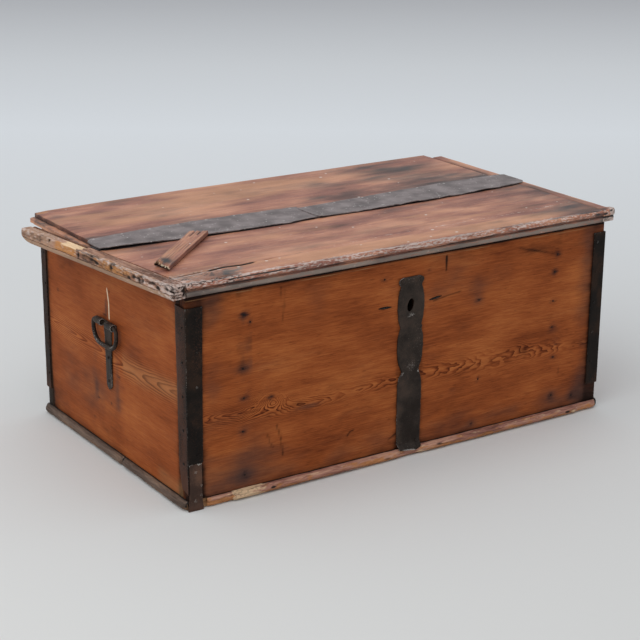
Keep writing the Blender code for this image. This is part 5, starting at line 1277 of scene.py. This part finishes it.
lips += 0.70 * bell(abs(behind) - 0.0050, 0.003) * step(x, -0.40, -0.45)
flake += on_top * (lips + 0.42 * fade(x + 0.55, 0.09) * step(y, -0.285, -0.305))
craze = step(x, -0.40, -0.48) * (on_top * step(y, -0.270, -0.290) + nose_face)
craze += nose_face * (0.35 + 0.4 * step(x, 0.40, 0.52))
weathering = band_face * (0.85 + 0.35 * unevenness(x, z, 0.04, 0.003, 129, 3))
wear = 0.45 * unevenness(x, y, 0.30, 0.045, 117, 3) + 0.30 * stain(x, y, (0.1, -0.15), (0.35, 0.06))
rubbed = bell(x + 0.17, 0.13) + 0.5 * bell(x, 0.1) + 0.9 * bell(x - 0.26, 0.13)
wear += strip * (0.42 + 0.85 * rubbed)
wear = np.where(z < LID_UNDER + 0.0005, 0.9 * (y > LID_FRONT + 0.011), wear)
grain = np.stack([x, y + 0.15, z - LID_TOP - 0.060], -1).reshape(-1, 3)
make_piece(
    "front_lid_board_worn", loft(rings), lid_pine, "lid", ("front_lid_board",), grain,
    {
        "grime_and_shade": grime_and_shade, "wear": wear, "flake": flake, "band": weathering + 0.85 * slate, "mark": mark,
        "craze": craze, "clean": z < LID_UNDER + 0.002,
    },
)

# Right clamp: the other breadboard end, grooved over the boards' tongues and still tight. Its outer arris is
# rounded and its front corner a flaking lump.
rings, behind = moulded_bar(lambda y: RIGHT_CLAMP_LEFT + 0 * y, RIGHT_CLAMP_RIGHT, RIGHT_CLAMP_REAR, 84)
x, y, z = np.moveaxis(rings, -1, 0).copy()
on_top, nose_face, band_face, nosing, quirk_shade = edge_faces(y, z)
edge = step(y, LID_FRONT + 0.022, LID_FRONT + 0.002) * step(z, LID_TOP - 0.013, LID_TOP - 0.004)
chips = np.clip(unevenness(x, y, 0.010, 0.012, 122, 3), -0.2, 1.2)
from_edge = RIGHT_CLAMP_RIGHT - x
worn = rounded(from_edge, 0.006) + rounded(x - RIGHT_CLAMP_LEFT, 0.002)
worn += 0.0004 * (1 + unevenness(y, x, 0.05, 0.02, 123))
rings[..., 2] -= on_top * worn + edge * 0.0025 * (0.4 + chips)
rings[..., 1] += rounded(from_edge, 0.005) * (y < LID_FRONT + 0.012)
lump = step(y, -0.322, -0.336) * step(x, 0.545, 0.556)
rings[..., 0] += 0.0050 * lump
rings[..., 2] += 0.0030 * lump * step(z, LID_TOP - 0.012, LID_TOP - 0.002)
outer_edge = step(x, 0.552, 0.560) * on_top
# Painted shade in the quirk under the nose.
grime_and_shade = 0.26 + 0.35 * unevenness(y, x, 0.09, 0.02, 124) - 0.4 * outer_edge + 0.8 * quirk_shade
grime_and_shade += on_top * 0.35 * fade(x - RIGHT_CLAMP_LEFT, 0.003)
grime_and_shade += on_top * 0.7 * stain(x, y, (0.545, -0.335), (0.008, 0.008))
flake = nosing * (0.46 * (1 + 0.3 * unevenness(x, z, 0.012, 0.008, 125)) + 1.3 * step(x, 0.550, 0.556))
mark = nosing * stains(
    x, z, (0.552, LID_TOP - 0.004, 0.003, 0.002, 1.1), (0.538, LID_TOP - 0.007, 0.008, 0.004, 1.1)
)
craze = nosing * (0.4 + step(x, 0.545, 0.555))
wear = 0.2 + 0.3 * unevenness(y, x, 0.06, 0.02, 126) + 0.5 * outer_edge
grain = np.stack([y + 4, x - 0.5, z - LID_TOP + 0.03], -1).reshape(-1, 3)
make_piece(
    "right_lid_clamp_worn", loft(rings), lid_pine, "lid", ("right_lid_clamp",), grain,
    {"grime_and_shade": grime_and_shade, "flake": flake, "wear": wear, "band": band_face, "mark": mark, "craze": craze},
)


# Left clamp: the breadboard end, grooved for the tongue, sprung outwards at the back. Its outer side is wormed
# and flaking; behind a splintered break its top has split away to pale wood and its face to bare orange wood.
CLAMP_WIDTH, CLAMP_LENGTH, CLAMP_THICK, SOUND, SPLIT_DEPTH = 0.035, 0.557, 0.029, 0.335, 0.0006
CHEEK_DEPTH, CHEEK_EDGE, FRONT_REACH, REAR_REACH, CLAMP_ROUND = 0.009, 0.0105, 0.0055, 0.006, 0.0012
weathered_pine = pine(
    "weathered_wormed_pine", ("#BC937C", "#956D5A", "#755243", "#4C3329"),
    [
        ("wear", "#BE8350", 0.009, 1.3, 0.34),
        ("band", "#A98870", 0.005, 1.3, 0.4),
        ("flake", "#D2BCB2", 0.0045, 2.0, 0.34),
        ("fresh_wood_and_highlight", "#EBC8A0", 0.010, 1.0, 0.4),
        ("grime_and_shade", "#2C1F18", 0.006, 1.7, 0.42),
    ],
    rough=0.72, specular=0.25, variety=(1.0, 0.9, 1.2), rings=0.08, crazed=True,
)
END_GASHES = (-0.0055, -0.0125, -0.0195, -0.0245)
# Places where the face has rotted or been knocked out: along, height, half sizes and depth.
rotted = (
    (0.146, -0.0150, 0.007, 0.004, 1), (0.127, -0.0085, 0.006, 0.0045, 1), (0.109, -0.0100, 0.007, 0.005, 1),
    (0.095, -0.0100, 0.005, 0.005, 1), (0.043, -0.0130, 0.006, 0.005, 1), (0.018, -0.0085, 0.008, 0.005, 1),
    (0.209, -0.0085, 0.005, 0.006, 1), (0.446, -0.0040, 0.005, 0.004, 1), (0.331, -0.0090, 0.004, 0.008, 1),
    (0.062, -0.0070, 0.010, 0.003, 1), (0.262, -0.0120, 0.010, 0.004, 1),
)


def turned_by(flat, angle):
    """Points of a plane turned by an angle: x cos - y sin, x sin + y cos."""
    turn = np.array(((math.cos(angle), -math.sin(angle)), (math.sin(angle), math.cos(angle))))
    return flat @ turn.T


# Stations along the clamp. Rings that close in on the middle of its front end give the end grain its own points.
shrink = np.array((0.12, 0.3, 0.5, 0.68, 0.84, 0.95))
s = np.concatenate([
    0 * shrink, np.linspace(0, 0.02, 9)[:-1], np.linspace(0.02, 0.31, 100)[:-1],
    np.linspace(0.31, 0.355, 30)[:-1], np.linspace(0.355, 0.525, 56)[:-1], np.linspace(0.525, CLAMP_LENGTH, 18),
])
angle = np.radians(np.linspace(170, 90, 7))
arris = CLAMP_ROUND * np.stack([np.cos(angle), np.sin(angle)], -1) + (CLAMP_ROUND - CLAMP_WIDTH, -CLAMP_ROUND)
top = (
    -0.0300, -0.0275, -0.0255, -0.0235, -0.0215, -0.0190, -0.0165, -0.0140, -0.0122, -0.0112, -0.0085, -0.005,
    -0.0022,
)
section = np.concatenate([
    [(-0.0016, -CLAMP_THICK), (-0.012, -CLAMP_THICK), (-0.024, -CLAMP_THICK)],
    [(0.0045 - CLAMP_WIDTH, -CLAMP_THICK), (0.0025 - CLAMP_WIDTH, 0.0018 - CLAMP_THICK)],
    [(0.0018 - CLAMP_WIDTH, -0.0250), (0.0018 - CLAMP_WIDTH, -0.0222), (0.0018 - CLAMP_WIDTH, -0.0200)],
    [(0.0034 - CLAMP_WIDTH, -0.0196), (0.0034 - CLAMP_WIDTH, -0.0186), (0.0006 - CLAMP_WIDTH, -0.0180)],
    [(-CLAMP_WIDTH, height) for height in (-0.0160, -0.0140, -0.0120, -0.0100, -0.0080, -0.0060, -0.0042)],
    arris,
    [(place, 0.0) for place in top],
    [(-0.0006, -0.0006), (0, -0.0022), (0, -0.010), (0, -0.019), (0, 0.0016 - CLAMP_THICK)],
])
shrink = np.concatenate([shrink, np.ones(len(s) - len(shrink))])[:, None]
heart = np.array((-0.0175, -0.0145))
across, up = (heart[axis] + shrink * (section[:, axis][None, :] - heart[axis]) for axis in (0, 1))
end_grain = 1 - step(s[:, None], 0, 0.006) + 0 * across
s = s[:, None] + 0 * across
# Masks: what has split away behind the break, the outer face, the top, the low band, and the groove's cheek.
tear = SOUND + 0.010 * unevenness(across, up, 0.006, 0.006, 131, 3)
gone = step(s, tear - 0.003, tear + 0.003)
side_face = step(across, -0.026, -0.031) * step(up, -0.0192, -0.0184)
crown = step(up, -0.0026, -0.0004)
split_top, sound_top = gone * crown, (1 - gone) * crown
band = step(across, -0.030, -0.033) * step(up, -0.0192, -0.0198)
cheek = step(across, -CHEEK_EDGE - 0.0006, -CHEEK_EDGE + 0.0006) * crown
pit = stains(s, up, *rotted)
bite = np.clip(unevenness(s, up, 0.016, 0.006, 133, 3), -0.3, 1.0)
bare = step(s, 0.338, 0.344) * step(s, 0.435, 0.415) * side_face
lowered = SPLIT_DEPTH * (0.8 + 0.5 * unevenness(s, across, 0.05, 0.006, 132, 3))
lowered = lowered * (1 - 0.6 * step(s, 0.43, 0.46))
fall = split_top * (lowered * (1 - cheek) + CHEEK_DEPTH * cheek)
fall += sound_top * 0.0004 * (1 + unevenness(s, across, 0.012, 0.006, 134, 3))
fall += sound_top * 0.0003 * step(across, -0.024, -0.032) * (1 + bite)
sink = side_face * (0.0008 * (1 + bite) + 0.0026 * np.clip(pit, 0, 1.2))
sink += 0.0024 * bare + 0.0006 * band * (1 + bite)
# The rear end is rounded and raked, the front end eaten back with gashes between its growth rings.
end = np.clip((s - CLAMP_LENGTH + 0.006) / 0.006, 0, 1)
bulge = 1 - np.sqrt(np.clip(1 - end**2, 0, 1))
middle = np.array((-0.018, -0.011))
across_end = middle[0] + (across - middle[0]) * (1 - 0.25 * bulge) + sink
rake = np.clip((s - 0.525) / 0.032, 0, 1)
up_end = np.maximum(middle[1] + (up - middle[1]) * (1 - 0.3 * bulge), 0.012 * rake**1.5 - CLAMP_THICK)
start = 1 - step(s, 0, 0.014)
up_end = up_end - fall - start * crown * 0.0022 * (1 + unevenness(across, s, 0.008, 0.01, 135))
along = s - FRONT_REACH * (1 - step(s, 0, 0.05)) + REAR_REACH * step(s, 0.46, CLAMP_LENGTH)
along += start * (0.003 * ((across + 0.0175) / 0.0175) ** 2 + 0.004 * np.clip(-up / CLAMP_THICK - 0.45, 0, 1))
gash = sum(bell(up - at - 0.0022 * unevenness(across, at, 0.007, 1, 141), 0.0011) for at in END_GASHES)
gash = end_grain * np.clip(gash + 1.2 * stain(across, up, (-0.003, -0.0145), (0.003, 0.0026)), 0, 1.2)
along += start * 0.0026 * unevenness(across, up, 0.006, 0.004, 138, 2) + 0.004 * gash
flat = turned_by(np.stack([across_end, along], -1), CLAMP_TURN)
rings = np.concatenate([flat, up_end[..., None]], -1) + CLAMP_PLACE
arris_line = step(up, -0.0065, -0.002) * step(across, -0.022, -0.028) * (1 - gone)
flake = side_face * (0.10 + 0.42 * stain(s, up, (0.085, -0.012), (0.05, 0.006)) + 0.45 * bell(s, 0.03))
flake += side_face * 0.18 * step(s, 0.46, 0.54) + 0.42 * arris_line + 0.60 * fade(s, 0.020)
flake += 0.22 * (sound_top * fade(s, 0.15) + split_top * step(s, 0.39, 0.43)) + 0.25 * band * fade(s, 0.12)
craze = 0.5 * side_face * step(s, 0.30, 0.20) + 0.6 * fade(s, 0.02) + 0.5 * sound_top * fade(s, 0.10)
grime_and_shade = side_face * (0.95 * np.clip(pit, 0, 1) + 0.36 * bell(s - 0.295, 0.035))
grime_and_shade += side_face * (0.16 + 0.25 * unevenness(s, up, 0.02, 0.005, 137, 3)) * (1 - bare)
# Painted shade in the groove above the low band.
groove_shade = step(up, -0.0182, -0.0188) * step(up, -0.0200, -0.0194) * (across < -0.03)
grime_and_shade += 0.55 * groove_shade * (0.7 + 0.4 * unevenness(s, 0, 0.04, 1, 139))
grime_and_shade += 0.9 * gash + 0.9 * step(across, -0.0025, 0.0) * (1 - gone) * step(s, 0.02, 0.04)
grime_and_shade += 0.85 * cheek * gone + 0.16 * sound_top
grime_and_shade += 0.4 * start * np.clip(unevenness(across, up, 0.005, 0.004, 140, 2), 0, 1)
wear = 0.15 + 0.85 * bare + 0.75 * side_face * bell(s - 0.20, 0.07) + 0.45 * arris_line
wear += 0.3 * stain(s, up, (0.49, -0.017), (0.05, 0.003))
fresh_wood_and_highlight = split_top * (1 - cheek) * step(s, 0.325, 0.335) * (1.15 - 1.1 * step(s, 0.385, 0.415))
band = band + 0.55 * step(s, 0.40, 0.45) * np.maximum(crown, side_face)
grain = np.stack([along + 7, across - 0.02, up + 0.04], -1).reshape(-1, 3)
make_piece(
    "left_lid_clamp_broken", loft(rings), weathered_pine, "lid", ("left_lid_clamp",), grain,
    {"flake": flake, "grime_and_shade": grime_and_shade, "wear": wear, "fresh_wood_and_highlight": fresh_wood_and_highlight, "band": band, "craze": craze},
)


# Patch: thin sheet iron in two lengths over the joint of the lid boards, tacked at the edges, its front edge
# lifted most at the left corner, its face dulled grey and spotted pale.
PATCH_Z, PATCH_SHEET, TACK_COUNT = 0.4866, 0.0014, 8
patch_iron = forged_iron(
    "spotted_sheet_iron", ("#665D5C", "#807675", "#968C8B"), "#B4AFAB", rough=0.55, metal=0.3, specks=0.8
)
for side, edges, seed in (("left", left_edges, 141), ("right", right_edges, 151)):
    v = np.concatenate([[0, 0.012, 0.03], np.linspace(0.06, 0.94, 22), [0.97, 0.988, 1]])
    x, v = np.meshgrid(lines(edges[0, 0], edges[-1, 0], 0.004), v, indexing="ij")
    near, far = (np.interp(x, edges[:, 0], edges[:, column]) for column in (1, 2))
    on_edge = (v == 0) | (v == 1)
    y = near + v * (far - near) + 0.0016 * unevenness(x, v, 0.012, 3.0, seed, 3) * on_edge
    curl = (0.0022 + 0.0012 * unevenness(x, 0, 0.07, 1, seed + 1)) * step(v, 0.16, 0) ** 2
    curl = (curl + 0.0026 * stain(x, v, (-0.55, 0.0), (0.05, 0.22))) * step(edges[-1, 0] - x, 0, 0.03)
    overlap = 1.1 * PATCH_SHEET * step(x, -0.046, -0.050) * (side == "right")
    ripple = 0.0005 * (1 + unevenness(x, y, 0.03, 0.03, seed + 2)) - 0.0004 * on_edge
    lower = np.stack([x, y, PATCH_Z + curl + overlap], -1)
    upper = np.stack([x, y, PATCH_Z + PATCH_SHEET + curl + overlap + ripple], -1)
    wear = 0.35 * ((v < 0.02) | (v > 0.98)) + 0.16 * unevenness(x, y, 0.05, 0.02, seed + 3, 3)
    make_piece(
        side + "_lid_patch_sheet", slab(upper, lower), patch_iron, "lid",
        (side + "_lid_patch",), None, {"wear": both(wear)},
    )
    # Tacks along the rear edge, and half as many along the front.
    tacks = np.linspace(edges[0, 0] + 0.02, edges[-1, 0] - 0.02, TACK_COUNT)
    rear = np.interp(tacks, edges[:, 0], edges[:, 2]) - 0.008
    front = np.interp(tacks[::2], edges[:, 0], edges[:, 1]) + 0.018
    tacks, rows = np.concatenate([tacks, tacks[::2]]), np.concatenate([rear, front])
    places = np.stack([tacks, rows, np.full(len(tacks), PATCH_Z + 0.0017)], -1)
    heads = nail_heads(places, (0, 0, 1), 0.0030, 0.0012, seed + 4)
    make_piece(
        side + "_lid_patch_tacks", heads, patch_iron, "lid", (), None,
        {"wear": np.full(len(heads[0]), 0.7)}, sharp=50,
    )


# Broken piece of the clamp, lying across the lid with its far end on the patch: brown old face above, torn pale
# wood at its near end and two drying cracks at the other.
PIECE_HALF, PIECE_WIDTH, PIECE_THICK, PIECE_LIFT = 0.131, 0.019, 0.010, 0.0004
PIECE_PLACE, PIECE_TURN, PIECE_TILT = (-0.450, -0.139), math.radians(43.5), 0.0106
# Drying cracks: place across and where each starts.
CLEFTS = ((-0.28, 0.70), (0.34, 0.60))
s = np.concatenate([np.linspace(-1, -0.82, 26)[:-1], np.linspace(-0.82, 0.8, 60)[:-1], np.linspace(0.8, 1, 18)])
around = np.array(
    [(-1, 0.1), (-1, 0.5), (-1, 0.86), (-0.96, 1.0)]
    + [(c, 1.0) for c in np.linspace(-0.88, 0.88, 23)]
    + [(0.96, 1.0), (1, 0.86), (1, 0.5), (1, 0.1), (0.9, 0), (0.3, 0), (-0.3, 0), (-0.9, 0)]
)
s, across = np.meshgrid(s, around[:, 0], indexing="ij")
up = around[:, 1] + 0 * s
above = (up > 0.9).astype(float)
skew = np.where(s > 0, -0.045 * across * s, s * (0.014 - 0.122 * across))
splinter = 0.085 * unevenness(across, up, 0.22, 0.45, 161, 3)
along = PIECE_HALF * (s * 0.955 + skew + splinter * (step(s, -0.75, -1.0) + 0.3 * step(s, 0.9, 1.0)))
width = PIECE_WIDTH * across * (1 + 0.03 * unevenness(s, across, 0.2, 3.0, 162))
cleft = sum(bell(across - at, 0.06) * step(s, since, since + 0.12) for at, since in CLEFTS)
torn = np.clip(step(s, -0.86, -0.97) * (0.5 + unevenness(across, s, 0.3, 0.05, 164)), 0, 1)
rough = 0.0004 * (1 + unevenness(s, across, 0.3, 0.12, 163))
top = up * PIECE_THICK - above * (0.0040 * cleft + rough + 0.004 * torn)
height = LID_TOP + top + (along + PIECE_HALF) * PIECE_TILT + PIECE_LIFT
flat = turned_by(np.stack([along, width], -1), PIECE_TURN) + np.array(PIECE_PLACE)
rings = np.concatenate([flat, height[..., None]], -1)
grime_and_shade = above * (0.10 + 0.85 * stain(s, across, (-0.80, 0.0), (0.12, 0.9)) + cleft) + 0.42 * (1 - above)
grime_and_shade += above * 0.45 * np.clip(unevenness(s, across, 0.5, 0.10, 167, 2), 0, 1)
fresh_wood_and_highlight = 1.3 * step(s, -0.945, -0.975) * (0.75 + 0.5 * unevenness(across, up, 0.3, 0.4, 165))
# Painted shade in the gaps between the torn fibres of the near end, and a painted shadow along the lower part of
# that end.
torn_gap_shade = 1.5 * step(s, -0.94, -0.97) * np.clip(unevenness(across, up, 0.16, 0.35, 168, 2) - 0.1, 0, 1)
torn_gap_shade += 1.3 * step(s, -0.95, -0.98) * step(up, 0.40, 0.20)
wear = above * (0.40 + 0.4 * unevenness(s, across, 0.4, 0.15, 166, 3))
grain = np.stack([along + 11, width + 0.03, top - 0.05], -1).reshape(-1, 3)
make_piece(
    "broken_clamp_piece_torn", loft(rings), lid_pine, "lid", ("broken_clamp_piece",), grain,
    {"grime_and_shade": grime_and_shade, "fresh_wood_and_highlight": fresh_wood_and_highlight, "wear": wear, "mark": torn_gap_shade},
)
